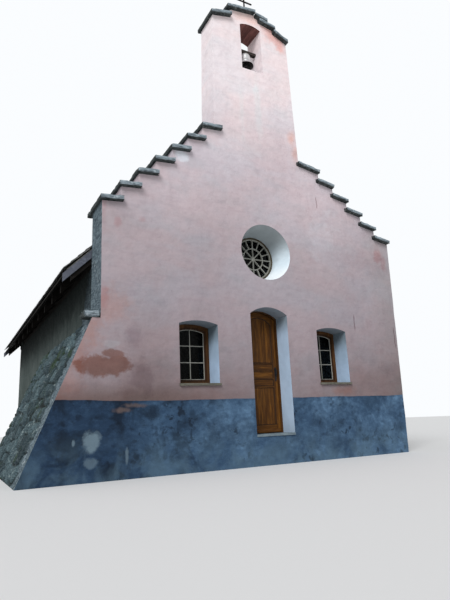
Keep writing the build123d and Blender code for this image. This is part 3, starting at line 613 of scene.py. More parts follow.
def bleached_and_lit_pink(place):
    """The pink by height, bleached and with painted light, brighter high up, under one coat after another,
    each named beside it, and then the marks.
    """
    x, _, height = axes_of(place)
    lying = squeezed(place, 1.8)
    strokes = noise_node(squeezed(place, 3.5), 3.2, 6.0, 0.7)
    runs = use(RUNS, place, Scale=5.0, Length=0.10)["Mask"]
    tint = washed(
        ramp(height + wander(place, 2.2, 0.6, 4.0), PINK_AND_LIGHT_BY_HEIGHT),
        (blotches(lying, 0.7, 0.14, 0.5), (1.04, 0.965, 0.945)),  # warmer clouds
        (blotches(lying, 1.7, 0.10, 0.45), (0.945, 0.975, 0.975)),  # greyer clouds
        (blotches(place, 7.0, 0.12, 0.45), (0.955, 0.945, 0.945)),  # mottle
        (band(strokes, 0.45, 0.7), (0.93, 0.92, 0.93)),  # brush strokes
        (runs * 0.3, (0.86, 0.85, 0.86)),  # runs of dirt
        (band(height, 2.9, 1.4) * blotches(place, 1.5, 0.12, 0.5), (0.975, 0.95, 0.945)),  # grime low down
        (band(height, 1.60, 1.25) * band(x, -0.5, -2.5), (0.68, 0.60, 0.55)),  # damp foot on the left
        (band(x, 2.5, 3.5), (0.84, 0.86, 0.84)))  # greyer right end
    return washed(tint, *((spots_of(place, soft, spots), factor) for factor, soft, spots in MARKS))


def rust_under_slabs(place):
    """Mask of rust below the right hand slabs of the bell gable: a band that slopes with them, x by z."""
    x, _, height = axes_of(place)
    down_slope = x * 0.43 + height + wander(place, 0.7, 3.0, 6.0, 0.7)
    return band(down_slope, 9.48, 9.74) * band(x, 0.20, 0.60) * band(x, 0.98, 0.82, 0.25, 1.0)


print("pink from", PINK_AND_LIGHT_BY_HEIGHT[0][0], "to", PINK_AND_LIGHT_BY_HEIGHT[-1][0], "m")

# %% Slate dado
DADO_TOP = 1.222
SLATE_DARK, SLATE, SLATE_PALE = (0.008, 0.014, 0.025), (0.029, 0.060, 0.112), (0.086, 0.158, 0.258)
SLATE_MARKS = [
    # colour, softness, then spots as on the pink
    ((0.14, 0.20, 0.245), 0.4, [(-3.46, 0.61, 0.105, 0.15, 0.9, 0.34), (-3.75, 0.60, 0.022, 0.045, 0.7, 0.5),
                                (-3.48, 0.29, 0.080, 0.07, 0.5, 0.5), (-2.90, 0.36, 0.026, 0.12, 0.6, 0.35)]),
    ((0.12, 0.090, 0.085), 0.5, [(-2.98, 1.08, 0.15, 0.05, 0.8, 0.45), (-2.76, 1.15, 0.20, 0.04, 0.7, 0.45)]),
]


def slate_dado(place, level):
    """Blue grey paint in brushed coats: pale bloom, dark flecks, haze low down, a darker top, and painted
    shade towards the left end, in a wash and in dark blotches that thicken there.
    """
    side, _, _ = axes_of(place)
    chalk = noise_node(squeezed(place, 1.6), 8.0, 6.0, 0.75)
    bloom = (blotches(place, 1.6, 0.16, 0.42) + 0.15) * band(side, -3.6, 0.5, 0.05, 0.9)
    # painted shade: the slate darkens towards the left end
    tint = washed(blend(bloom, SLATE, SLATE_PALE), (band(chalk, 0.40, 0.66), (1.55, 1.5, 1.42)),
                  (band(side, -2.3, -3.1), (0.58, 0.60, 0.64)))
    # dark blotches, thicker towards the left end as painted shade
    shade = blotches(place, 2.4, 0.09, 0.47) * band(side, -0.5, -3.0, 0.30, 0.8)
    flecks = blotches(place, 7.0, 0.05, 0.42) * blotches(place, 1.1, 0.10, 0.46)
    haze = band(level, 0.80, 0.0) * blotches(place, 2.0, 0.14, 0.52)
    tint = daubed(tint, (shade, SLATE_DARK), (flecks * 0.75, (0.007, 0.010, 0.017)),
                  (haze * 0.6, (0.085, 0.145, 0.200)),
                  *((spots_of(place, soft, spots), mark) for mark, soft, spots in SLATE_MARKS))
    return washed(tint, (band(level, DADO_TOP - 0.05, DADO_TOP) * 0.5, (0.6, 0.6, 0.62)))


print("dado top:", DADO_TOP, "m")

# %% Pink render over the dado
CRACKS = [(2.23, 2.80, 0.20), (1.475, 5.50, 0.16), (3.395, 2.50, 0.28)]  # x, z and half length


def pink_render(place, shader):
    """Pink above a slate dado with an edge cut in by hand, three short cracks and a trowelled relief."""
    x, _, height = axes_of(place)
    cracks = 0.0
    for crack_x, crack_z, half in CRACKS:
        across = abs(x - crack_x + wander(place, 0.06, 6.0))
        reach = band(abs(height - crack_z), half, half * 0.6)
        cracks = calc("MAXIMUM", cracks, band(across, 0.020, 0.004) * reach)
    pink = washed(bleached_and_lit_pink(place), (rust_under_slabs(place), (0.97, 0.66, 0.60)),
                  (cracks, (0.62, 0.55, 0.56)))
    level = height + wander(place, 0.05, 1.4, 6.0, 0.6) - band(x, -2.6, -4.0, 0.0, 0.045)
    dado = band(level, DADO_TOP + 0.006, DADO_TOP - 0.006)
    tint = blend(dado, pink, slate_dado(place, level))
    cover(shader, tint, relief(place, 1.0, 0.8) - cracks * 0.2, 0.022, 0.92, 0.12)


material("pink_render", pink_render)
print("pink render:", len(MATERIAL["pink_render"].node_tree.nodes), "nodes")

# %% [markdown]
# ## Limewash, lime plaster and bare stone
# The jambs and heads of the openings are brushed with white limewash, which catches the light and makes the
# deep walls read from far away. The nave keeps a plain grey lime plaster, greenish where it stays damp, and
# the narrow left return of the front was never rendered: there the stone shows under a thin skin of mortar.
# The painted light and shade in the openings follow the way that a surface looks and its height, so both
# are read here and no map has to be painted.

# %% White limewash
def white_limewash(place, shader):
    """Bluish white under painted light and shade: darker in low openings and in the windows, paler high up
    and where it looks up there, shaded on undersides and atop the jambs, lit low on the window jambs.
    """
    x, _, height = axes_of(place)
    _, _, look_up = facing(place)
    cloud = blotches(place, 3.0, 0.25, 0.45)
    high_up, below_arch = band(height, 2.7, 3.5), band(height, 3.0, 2.8)
    beside_door, upright = band(abs(x), 0.8, 1.0), band(look_up, -0.5, -0.1)
    tint = washed(
        # darker in the low openings, brighter high up: painted shade and light
        blend(high_up, (0.50, 0.635, 0.80), (0.76, 0.87, 0.94)),
        (cloud, (0.86, 0.87, 0.88)),
        # the window reveals darkened as painted shade
        (beside_door, (0.80, 0.83, 0.84)),
        (band(look_up, 0.15, -0.75), (0.45, 0.43, 0.41)),  # painted shade on undersides
        (band(look_up, -0.3, -0.75) * below_arch, (1.30, 1.18, 1.10)))  # less painted shade under low arches
    tint = daubed(tint, (band(look_up, 0.2, 0.8) * high_up * 0.7, (0.92, 0.95, 0.97)))  # painted light on faces that look up, high on the front
    # painted light low on the window jambs, painted shade near the heads of the jambs
    lit_low_on_jambs = band(height, 2.12, 1.75) * (beside_door * upright)
    shaded_near_heads = upright * band(height + beside_door * 0.3, 2.42, 2.79) * below_arch
    foot = band(height + cloud * 0.1, 0.95, 0.45) * 0.5
    tint = washed(tint, (lit_low_on_jambs, (1.22, 1.22, 1.26)), (shaded_near_heads, (0.50, 0.49, 0.45)))
    cover(shader, blend(foot, tint, (0.26, 0.32, 0.37)), relief(place, 0.9, 0.5), 0.012, 0.88, 0.15)


material("white_limewash", white_limewash)
print("white limewash:", len(MATERIAL["white_limewash"].node_tree.nodes), "nodes")


# %% Bare masonry
def rough_masonry(place):
    """Blue grey field stone under a thin skin of mortar: (colour, height)."""
    tint, height = split_stone(place, (0.042, 0.062, 0.078), (0.155, 0.200, 0.232), (0.25, 0.29, 0.31), 0.4,
                               0.4)
    lumps = noise_node(squeezed(place, 1.5), 9.0, 5.0, 0.7, 0.5)
    tint = washed(tint, (band(lumps, 0.40, 0.62), (1.5, 1.5, 1.45)),
                  (band(lumps, 0.42, 0.34), (0.45, 0.47, 0.48)))
    return tint, lumps * 2.0 + height


def bare_side(place, shader):
    """The narrow returns of the front, never rendered."""
    cover(shader, *rough_masonry(place), 0.03, 0.93, 0.12)


def soffit_boards(place, shader):
    """Red brown boards under the arch of the bell opening, grain along the wall's depth."""
    wood = use(GRAIN, place, Stretch=(1.0, 0.08, 1.0), Tone=0.4, Dark=(0.095, 0.034, 0.029),
               Light=(0.25, 0.10, 0.086), Contrast=1.0)
    cover(shader, wood["Color"], wood["Height"], 0.004, 0.85)


material("bare_side", bare_side)
material("soffit_boards", soffit_boards)
print("materials:", sorted(MATERIAL))

# %% Nave plaster
TOOTHING_SLOPE = 0.523  # how far the bare masonry beside the front runs back for each metre down


def nave_plaster(place, shader):
    """Dark grey lime plaster, its grey partly painted shade, green where damp, bare masonry beside the front.
    Under the eaves it is darkest, with painted eave shadow over soot, and the left side is darker still
    with painted shade."""
    x, y, height = axes_of(place)
    shaded = band(x, -2.4, -3.0)
    drift = wander(place, 0.35, 5.0, 4.0)
    masonry, lumps = rough_masonry(place)
    # a grey darker than lime plaster: partly painted shade
    tint = blend(blotches(place, 0.9, 0.2, 0.5), (0.190, 0.215, 0.205), (0.115, 0.140, 0.132))
    damp = band(height, 2.4, 0.3) * blotches(place, 1.7, 0.14, 0.56) * 0.8
    bare = band(y + height * TOOTHING_SLOPE + drift, -2.55, -2.67) * shaded
    # painted shadow of the eaves over soot, on the top of the side walls
    soot_and_eave_shadow = band(height + drift * 1.5, 2.3, 3.5) * band(abs(x), 2.7, 3.1, 0.25, 1.0)
    tint = washed(tint, (shaded, (0.47, 0.51, 0.51)))
    tint = daubed(tint, (damp, (0.026, 0.040, 0.022)), (bare, masonry))
    tint = washed(tint, (soot_and_eave_shadow, (0.13, 0.15, 0.15)))
    cover(shader, tint, relief(place, 1.4, 1.2) + lumps * bare, 0.035, 0.95, 0.12)


material("nave_plaster", nave_plaster)
print("nave plaster:", len(MATERIAL["nave_plaster"].node_tree.nodes), "nodes")

# %% [markdown]
# ## Slabs, field stones and paving
# The slabs on the steps are split schist, nearly black on their broken sides and undersides and a pale
# blue grey where the weather and lichen reach them; the black is partly painted shade, and the pale tops and
# fronts are partly painted light. The buttress is of darker field stones in crumbling mortar, mossy all over,
# with painted shade deep in its joints, and the floor inside is paved with worn flags. Each point of the
# slabs and the buttress carries numbers: how worn and how lit it is, or its stone's tone and how deep it
# lies in a joint. The colours so follow the stones that were really modelled, which noise alone couldn't do.

# %% Schist
def schist(place, shader):
    """Bedded stone, nearly black on broken sides and undersides, partly painted shade, and pale with lichen
    where weathered and where it looks up or forward, partly painted light.
    """
    x, _, _ = axes_of(place)
    _, look_back, look_up = facing(place)
    worn = stored(place, "wear_and_light")
    # painted light: front faces pale on the upper part of each slab, and more so on the slabs to the left
    shown = calc("MAXIMUM", band(worn, 0.0, 0.4, 0.35, 1.0), band(x, -0.5, -1.5, 0.0, 0.8))
    front_face = band(look_back * -1.0, 0.35, 0.85) * shown
    weathered_and_lit_face = calc("MAXIMUM", band(look_up, 0.3, 0.9), front_face)
    dark, height = split_stone(place, (0.013, 0.017, 0.018), (0.072, 0.084, 0.084), (0.14, 0.155, 0.145),
                               0.42, 1.0)
    pale, _ = split_stone(place, (0.070, 0.088, 0.102), (0.345, 0.415, 0.465), (0.38, 0.44, 0.48), 0.5, 1.0)
    # pale worn edges on the upper part: wear and a painted highlight
    edge = band(worn, 0.4, 1.0, 0.0, 0.6) * weathered_and_lit_face
    cover(shader, daubed(dark, (weathered_and_lit_face, pale), (edge, (0.38, 0.45, 0.49))), height, 0.010, 0.85, 0.2)


material("schist", schist)
print("schist:", len(MATERIAL["schist"].node_tree.nodes), "nodes")


# %% Rubble
def rubble(place, shader):
    """Field stones by tone, joints darkened by depth as painted shade, moss on most of it, plain masonry
    beside the front.
    """
    _, y, _ = axes_of(place)
    stone, height = split_stone(place, (0.010, 0.018, 0.023), (0.046, 0.070, 0.080), (0.12, 0.15, 0.155),
                                0.45, 0.6)
    masonry, lumps = rough_masonry(place)
    strip = band(y + wander(place, 0.5, 3.0, 4.0), -4.75, -4.95)
    moss = band(strip, 1.0, 0.0, 0.15, 0.8) * blotches(place, 1.3, 0.06, 0.40)
    leaf = blend(band(noise_node(place, 45.0), 0.4, 0.6), (0.014, 0.026, 0.012), (0.042, 0.068, 0.028))
    tint = washed(stone, (stored(place, "tone"), (2.6, 2.5, 2.4)))
    # the joints are darkened as painted shade
    tint = daubed(tint, (stored(place, "joint") * 0.85, (0.012, 0.015, 0.014)), (strip, masonry),
                  (moss, leaf))
    cover(shader, tint, height + lumps * (strip * 0.6), 0.02, 0.94, 0.12)


material("rubble", rubble)
print("rubble:", len(MATERIAL["rubble"].node_tree.nodes), "nodes")

# %% Paving, threshold and sills
FLAGS = {"Scale": 1.0, "Mortar Size": 0.006, "Brick Width": 0.62, "Row Height": 0.42,
         "Color1": (0.20, 0.20, 0.19), "Color2": (0.30, 0.29, 0.27), "Mortar": (0.09, 0.09, 0.085)}


def paving(place, shader):
    """Worn grey flags in running bond."""
    flags = node(place.tree, "ShaderNodeTexBrick", {"Vector": place, **FLAGS}).outputs
    stone, height = split_stone(place, (0.16, 0.16, 0.155), (0.30, 0.30, 0.28), (0.3, 0.3, 0.28), 0.1, 0.3)
    cover(shader, blend(0.5, Wire(flags["Color"]), stone), height * 0.2 - Wire(flags["Fac"]), 0.006, 0.75)


def worn_stone(dark, light, stain):
    """Recipe of a rubbed and stained stone or cement."""
    def recipe(place, shader):
        cover(shader, *split_stone(place, dark, light, stain, 0.33, 0.2), 0.006, 0.8)
    return recipe


material("paving", paving)
material("threshold_stone", worn_stone((0.095, 0.130, 0.155), (0.175, 0.225, 0.255), (0.10, 0.12, 0.11)))
material("sill_cement", worn_stone((0.060, 0.058, 0.044), (0.150, 0.145, 0.115), (0.045, 0.045, 0.022)))
print("materials:", len(MATERIAL))

# %% [markdown]
# ## Timber
# Larch shingles and verge boards weathered silver, the roof's frame, painted near black as shade under the
# roof, the honey coloured varnish of the door with its beads darkened as painted shade in the grooves, the
# darker window frames and the grey oak of the bell's headstock are all one recipe from the grain group. The
# grain runs along whichever axis is squeezed, and an attribute called tone sets boards apart.

# %% Timbers
ALONG = {"x": (0.06, 1.0, 1.0), "y": (1.0, 0.06, 1.0), "z": (1.0, 1.0, 0.06)}
VARNISHED = (0.5, 0.0016, 0.16)  # roughness, relief in metres, gloss
ROOF_FRAME_FINISH = (0.85, 0.004, 0.1)


def timber(name, axis, dark, light, roughness, depth, gloss, weather=None, contrast=1.0):
    """A timber with its grain along an axis; weather is (colour, strength) of silvering or dirt."""
    def recipe(place, shader):
        wood = use(GRAIN, place, Stretch=ALONG[axis], Tone=stored(place, "tone"), Dark=dark, Light=light,
                   Contrast=contrast)
        tint = wood["Color"]
        if weather:
            tint = blend(blotches(place, 2.5, 0.2, 0.5) * weather[1], tint, weather[0])
        cover(shader, tint, wood["Height"], depth, roughness, gloss)
    material(name, recipe)


for axis in "xyz":
    timber(f"door_timber_{axis}", axis, (0.060, 0.021, 0.003), (0.250, 0.100, 0.014), *VARNISHED,
           ((0.10, 0.042, 0.010), 0.35))
    # near black roof timber: painted shade under the roof
    timber(f"roof_timber_{axis}", axis, (0.006, 0.005, 0.004), (0.020, 0.016, 0.014), *ROOF_FRAME_FINISH,
           ((0.024, 0.022, 0.020), 0.3))
timber("verge_timber", "y", (0.080, 0.088, 0.112), (0.215, 0.230, 0.285), 0.85, 0.003, 0.15,
       ((0.13, 0.14, 0.17), 0.4), 0.9)
timber("shingle_timber", "x", (0.045, 0.043, 0.042), (0.20, 0.195, 0.190), 0.9, 0.006, 0.2,
       ((0.11, 0.12, 0.10), 0.45))
timber("stock_oak", "x", (0.020, 0.017, 0.015), (0.085, 0.070, 0.058), 0.8, 0.004, 0.25)
timber("frame_timber", "z", (0.050, 0.020, 0.006), (0.165, 0.072, 0.022), *VARNISHED,
       ((0.08, 0.037, 0.014), 0.4))
timber("sash_timber", "z", (0.030, 0.013, 0.006), (0.095, 0.043, 0.018), *VARNISHED)
# dark timber for the door's beads: painted shade in the grooves
timber("groove_shade_timber", "z", (0.018, 0.008, 0.003), (0.055, 0.023, 0.008), 0.55, 0.0016, 0.16)
timber("ring_timber", "z", (0.045, 0.035, 0.020), (0.12, 0.095, 0.060), 0.6, 0.0016, 0.2,
       ((0.07, 0.06, 0.04), 0.4))
print("materials:", len(MATERIAL))

# %% [markdown]
# ## Paint, glass and metal
# The bars and the wheel are in pale oil paint, gone dull. The panes are old glass with a film of dust,
# tinted dark as painted shade of the room behind. A low refraction keeps them from mirroring too much. The
# bell is pale cast metal outside and black inside, and the ironwork is hammered and touched by rust.

# %% Paint and glass
def sash_paint(place, shader):
    """Pale oil paint with thin brush marks, greyed in places."""
    tint = blend(blotches(place, 8.0, 0.2, 0.45), (0.30, 0.295, 0.26), (0.20, 0.20, 0.17))
    cover(shader, tint, noise_node(place, 60.0), 0.001, 0.5)


def pane(place, shader):
    """Glass tinted dark as painted shade of the room behind, faintly wavy, with a film of dust that
    thickens in blotches.
    """
    dust = blotches(place, 5.0, 0.2, 0.5)
    # the dark tint is painted shade of the room behind
    cover(shader, (0.10, 0.125, 0.12), noise_node(place, 4.0, 2.0), 0.004, band(dust, 0.0, 1.0, 0.04, 0.16))
    feed(shader.inputs["Transmission Weight"], 1.0)
    feed(shader.inputs["IOR"], 1.18)


material("sash_paint", sash_paint)
material("pane", pane)
print("materials:", len(MATERIAL))


# %% Metals
def forged_iron(place, shader):
    """Black hammered iron with a few rust blooms."""
    rust = blotches(place, 22.0, 0.06, 0.38)
    tint = blend(rust, (0.035, 0.034, 0.036), (0.12, 0.05, 0.025))
    cover(shader, tint, noise_node(place, 55.0, 2.0), 0.003, band(rust, 0.0, 1.0, 0.5, 0.9), metallic=0.8)


def bell_metal(place, shader):
    """Pale cast bell metal, dulled by weather in blotches."""
    dull = blotches(place, 9.0, 0.2, 0.5)
    tint = blend(dull, (0.86, 0.87, 0.88), (0.66, 0.67, 0.67))
    cover(shader, tint, noise_node(place, 80.0, 2.0), 0.001, band(dull, 0.0, 1.0, 0.28, 0.5), metallic=0.6)


def bell_hollow(place, shader):
    """The inside of the bell, left as cast and black with dirt."""
    crust = noise_node(place, 30.0, 4.0, 0.6)
    tint = blend(band(crust, 0.4, 0.6), (0.012, 0.012, 0.012), (0.045, 0.043, 0.040))
    cover(shader, tint, crust, 0.002, 0.8)


for recipe in (forged_iron, bell_metal, bell_hollow):
    material(recipe.__name__, recipe)
print("materials:", len(MATERIAL))

# %% [markdown]
# ## Masonry
# Hand trowelled render is never flat. Each wall of the front is a copy of its CAD node, cut along one
# common grid and pressed in by a few millimetres of noise. The noise depends on place alone, so the walls
# still meet in closed seams. The doorway and the bell opening stay true, since the door and the bell move
# there. Every face also takes the finish it has on the real front: pink outside, white in the openings,
# bare at the left return.

# %% Cutting a wall
END_CLEAR = 0.01  # no cut this close to a wall's own edge


def cut_plane(work, axis, place):
    """Cut a bmesh by the plane square to an axis at a place along it."""
    normal = Vector([float(a == axis) for a in range(3)])
    everything = work.verts[:] + work.edges[:] + work.faces[:]
    bmesh.ops.bisect_plane(work, geom=everything, dist=MERGE, plane_co=normal * place, plane_no=normal)


def cut_grid(work, axis, step):
    """Cut a bmesh by planes square to an axis, one at every whole step inside it."""
    places = [v.co[axis] for v in work.verts]
    low, high = min(places), max(places)
    for k in range(int(np.ceil(low / step)), int(np.floor(high / step)) + 1):
        if low + END_CLEAR < k * step < high - END_CLEAR:
            cut_plane(work, axis, k * step)


def indexed(work):
    """Number the points and faces of a bmesh again after cuts."""
    for parts in (work.faces, work.verts):
        parts.ensure_lookup_table()
        parts.index_update()
    return work


def cut_copy(name, steps):
    """A merged copy of a CAD node, cut along each axis whose step isn't zero."""
    work = merged_copy(name)
    for axis, step in enumerate(steps):
        if step:
            cut_grid(work, axis, step)
    return indexed(work)


def arrays_of(work):
    """Points, face centres and face normals of a bmesh."""
    points = np.array([v.co for v in work.verts])
    centres = np.array([f.calc_center_median() for f in work.faces])
    normals = np.array([f.normal for f in work.faces])
    return points, centres, normals


print("no cut within", END_CLEAR, "m of a wall's edge")


# %% Pressing a wall
def outward(work, chosen):
    """For each point the sum of the axis directions of its chosen faces, each axis counted once."""
    found = np.zeros((len(work.verts), 3))
    for face in np.nonzero(chosen)[0]:
        normal = work.faces[face].normal
        axis = int(np.argmax(np.abs(normal)))
        for vert in work.faces[face].verts:
            found[vert.index, axis] = np.sign(normal[axis])
    return found


def pressed(points, direction, depth, scale, seed):
    """Move points against their outward direction by 0 to depth, following noise of position."""
    amount = depth * (0.5 + 0.5 * np.clip(rough(points, scale, seed) / 1.2, -1, 1))
    return points - direction * amount[:, None]


def to_mesh(work, points, slots):
    """Write moved points and material slots back, and turn the bmesh into a mesh."""
    for vert, place in zip(work.verts, points):
        vert.co = place
    for face, slot in zip(work.faces, slots):
        face.material_index = int(slot)
    mesh = bpy.data.meshes.new("mesh")
    work.to_mesh(mesh)
    work.free()
    return mesh


print("noise at scale 2.6 from 0 to 1 m:", rough(np.eye(3), 2.6, 0).round(2))

# %% Which finish a face takes
FRONT_Y, INSIDE_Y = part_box("front_gable")[0][1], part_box("front_gable")[1][1]
LEFT_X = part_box("front_wall_left")[0][0]
GABLE_TOP, HEAD_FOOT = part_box("front_gable")[1][2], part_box("tower_head")[0][2]
BUTTRESS_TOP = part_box("buttress")[1][2]
WALL_FINISHES = ("pink_render", "white_limewash", "bare_side", "nave_plaster", "soffit_boards")
PINK, WHITE, BARE, PLASTER, BOARDS = range(5)
CORNER_X = abs(LEFT_X) - 0.02
ROUND_X, _, ROUND_Z = (sum(ends) / 2 for ends in zip(*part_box("oculus_frame")))
WINDOW_X = sum(corner[0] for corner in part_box("window_frame_right")) / 2
# limits just outside each opening
ROUND_REACH, WINDOW_HALF, DOORWAY_HALF, BELL_HALF = 0.63, 0.43, 0.56, 0.3
WINDOW_FOOT, WINDOW_TOP, DOORWAY_TOP = 1.4, 2.75, 3.1
SQUARE = 0.7  # a normal's part along an axis, above which a face counts as square to it


def front_slots(centres, normals):
    """Finish of each face of the front, by where it is and where it looks."""
    x, y, z = centres.T
    slots = np.full(len(centres), PINK)
    slots[(normals[:, 1] > SQUARE) & (y > INSIDE_Y - 0.05)] = PLASTER
    across = np.abs(normals[:, 1]) < SQUARE
    in_round = np.hypot(x - ROUND_X, z - ROUND_Z) < ROUND_REACH
    in_window = (np.abs(np.abs(x) - WINDOW_X) < WINDOW_HALF) & (z > WINDOW_FOOT) & (z < WINDOW_TOP)
    in_door = (np.abs(x) < DOORWAY_HALF) & (z < DOORWAY_TOP)
    slots[(across | (y > FRONT_Y + 0.05)) & (in_round | in_window | in_door)] = WHITE
    slots[across & (np.abs(x) > CORNER_X) & (z < GABLE_TOP)] = BARE
    slots[across & (normals[:, 2] < -0.3) & (z > HEAD_FOOT) & (np.abs(x) < BELL_HALF)] = BOARDS
    return slots


print("round window at", round(ROUND_X, 3), round(ROUND_Z, 3), "windows at", round(WINDOW_X, 3))

# %% Front walls and bell gable
FRONT_NODES = ("front_wall_left", "front_wall_right", "front_wall_sill", "front_gable", "tower_shaft",
               "tower_pier_left", "tower_pier_right", "tower_head")
FRONT_GRID, FRONT_SKIN, FRONT_WAVES = 0.13, 0.006, 2.6
PIER_HALF = 0.8  # sides nearer the middle than this belong to the bell opening

for name in FRONT_NODES:
    work = cut_copy(name, (FRONT_GRID, 0, FRONT_GRID))
    points, centres, normals = arrays_of(work)
    slots = front_slots(centres, normals)
    flat_front = (np.abs(normals[:, 1]) > SQUARE) & (slots != WHITE)
    outer_side = (np.abs(normals[:, 0]) > SQUARE) & (np.abs(centres[:, 0]) > PIER_HALF) & (slots != WHITE)
    outer_side &= (centres[:, 0] > 0) | (centres[:, 2] > BUTTRESS_TOP)
    direction = outward(work, flat_front | outer_side)
    against_buttress = (points[:, 0] < LEFT_X + 0.001) & (points[:, 2] < BUTTRESS_TOP + 0.001)
    direction[against_buttress] = 0
    mesh = to_mesh(work, pressed(points, direction, FRONT_SKIN, FRONT_WAVES, 0), slots)
    piece(name + "_finish", mesh, WALL_FINISHES, replaces=(name,))
    print(name, len(points), "points")

# %% [markdown]
# ## Nave and rear wall
# The nave is rubble under a coarser plaster than the front's. It was laid on with less care, so it bellies
# more and more slowly. The same cutting and pressing makes it, with a wider grid and longer waves, on the
# long sides and on the outside of the rear. The other faces show only through the openings.

# %% Nave walls
NAVE_GRID, NAVE_SKIN, NAVE_WAVES, NAVE_SEED = 0.26, 0.008, 0.8, 4
REAR_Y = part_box("rear_wall")[1][1]

for name in ("nave_wall_left", "nave_wall_right", "rear_wall"):
    work = cut_copy(name, (NAVE_GRID,) * 3)
    points, centres, normals = arrays_of(work)
    flat = (np.abs(normals[:, 0]) > SQUARE) | ((normals[:, 1] > SQUARE) & (centres[:, 1] > REAR_Y - 0.05))
    moved = pressed(points, outward(work, flat), NAVE_SKIN, NAVE_WAVES, NAVE_SEED)
    piece(name + "_finish", to_mesh(work, moved, np.zeros(len(centres))), ("nave_plaster",), replaces=(name,))
    print(name, len(points), "points")

# %% [markdown]
# ## Buttress
# The buttress was never rendered, apart from its front face, which carries on the plane and the paint of
# the front. Its field stones are real relief here: the surface is cut finely and pressed in along the
# joints of a random bedding, wider than it is high, so that each stone has a rounded face of its own.
# Stones drawn by a bump alone would leave the outline of the buttress straight.

# %% Stones in a wall
STONE_STRAY = 0.7  # how far a stone's centre may lie from the middle of its box


def stones(points, size, seed):
    """Cells round one random point in each box of a grid: (distance to the joint in boxes, tone of the cell).
    The distance is how much farther the second nearest point is than the nearest."""
    scaled = points / np.asarray(size, float)
    base = np.floor(scaled)
    nearest = np.full(len(points), 9.0)
    second = np.full(len(points), 9.0)
    number = np.zeros(len(points))
    for offset in product((-1, 0, 1), repeat=3):
        cell = base + offset
        stray = np.stack([chance(cell, seed + k) for k in range(3)], axis=1) - 0.5
        centre = cell + 0.5 + STONE_STRAY * stray
        distance = np.linalg.norm(scaled - centre, axis=1)
        closer = distance < nearest
        second = np.where(closer, nearest, np.minimum(second, distance))
        number = np.where(closer, chance(cell, seed + 7), number)
        nearest = np.where(closer, distance, nearest)
    return second - nearest, number


def free_normals(work, free):
    """The sum of the normals of each point's free faces, and whether the point has only such faces."""
    total, only_free = np.zeros((len(work.verts), 3)), np.ones(len(work.verts), bool)
    for face in work.faces:
        for vert in face.verts:
            if free[face.index]:
                total[vert.index] += face.normal
            else:
                only_free[vert.index] = False
    return total, only_free


print("joint to the nearest stone at the origin:", stones(np.zeros((1, 3)), (1, 1, 1), 0)[0].round(3))

# %% Buttress stones
STONE_GRID = 0.035
STONE_SIZE, STONE_SEED = (0.46, 0.46, 0.24), 11
FINE_JOINT, COARSE_JOINT = 0.008, 0.045  # depth of the joints beside the front and away from it
STONE_SKIN, STONE_STEP = 0.010, 0.012  # rough faces, and stones set deeper than others

work = cut_copy("buttress", (STONE_GRID,) * 3)
points, centres, normals = arrays_of(work)
front, under = normals[:, 1] < -0.9, normals[:, 2] < -0.9
joint_width, number = stones(points, STONE_SIZE, STONE_SEED)
away_from_front = smooth_step(points[:, 1], -5.0, -4.7)
depth = FINE_JOINT + (COARSE_JOINT - FINE_JOINT) * away_from_front
inward = depth * (1 - smooth_step(joint_width, 0.02, 0.20))
inward += STONE_SKIN * (0.5 + 0.5 * rough(points, 9.0, 2) / 1.75) + STONE_STEP * number
total, only_free = free_normals(work, ~front & ~under)
lengths = np.linalg.norm(total, axis=1)
held = ~only_free | (lengths < 1e-6) | (points[:, 0] > LEFT_X - 0.002)
moved = points - np.where(held, 0, inward / np.maximum(lengths, 1e-6))[:, None] * total
buttress_mesh = to_mesh(work, moved, np.where(front, 1, 0))
tag(buttress_mesh, "tone", number)
tag(buttress_mesh, "joint", 1 - smooth_step(joint_width, 0.02, 0.12))
piece("buttress_stones", buttress_mesh, ("rubble", "pink_render"), replaces=("buttress",), sharp=50)
print("buttress", len(points), "points")

# %% [markdown]
# ## Stone slabs
# Each step and the top of the bell gable are covered by rough slabs split from bedded schist. A slab is a
# block whose surface is a lattice on eight corners. Its sides break back in steps along the beds, its edges
# are chipped and its top is worn into shallow waves. All of that goes inward, so a slab stays inside its
# CAD block.

# %% Block of points
def lattice(cells):
    """Surface of the unit cube as a lattice: (points from 0 to 1, quads), each point once."""
    sides, keys = [], []
    for axis in range(3):
        first, second = (a for a in range(3) if a != axis)
        i, j = np.meshgrid(np.arange(cells[first] + 1), np.arange(cells[second] + 1), indexing="ij")
        index = np.arange(i.size).reshape(i.shape)
        around = [index[:-1, :-1], index[1:, :-1], index[1:, 1:], index[:-1, 1:]]
        quads = np.stack(around, axis=-1).reshape(-1, 4)
        for end in (0, 1):
            place = np.zeros((i.size, 3), int)
            place[:, first], place[:, second], place[:, axis] = i.ravel(), j.ravel(), end * cells[axis]
            turn = (end == 1) == (axis != 1)
            keys.append(place)
            sides.append(quads if turn else quads[:, ::-1])
    points, faces = joined(list(zip(keys, sides)))
    unique, inverse = np.unique(points, axis=0, return_inverse=True)
    return unique / np.asarray(cells, float), inverse.ravel()[faces]


def eight_corners(solid):
    """Corners of a block drawn out along Y, as an array [i, j, k] of low or high across, along Y and up."""
    corners = np.zeros((2, 2, 2, 3))
    depth = solid[:, 1]
    for j, end in enumerate((solid[depth < depth.min() + 0.001], solid[depth > depth.max() - 0.001])):
        middle = end.mean(0)
        left, right = end[end[:, 0] < middle[0]], end[end[:, 0] >= middle[0]]
        for i, pair in enumerate((left, right)):
            corners[i, j, 0], corners[i, j, 1] = pair[pair[:, 2].argmin()], pair[pair[:, 2].argmax()]
    return corners


print("a lattice of 4 by 4 by 4 cells has", len(lattice([4, 4, 4])[0]), "points")

# %% Split slab
SLAB_CELL, BED_CELL = 0.036, 0.020
EDGE_REACH, BED_HEIGHT, BED_SWAY = 0.035, 0.024, 0.8
BEND_SCALE, CHIP_SCALE, LEDGE_SCALE, LEDGE_DEPTH = 5.0, 11.0, 3.0, 0.7


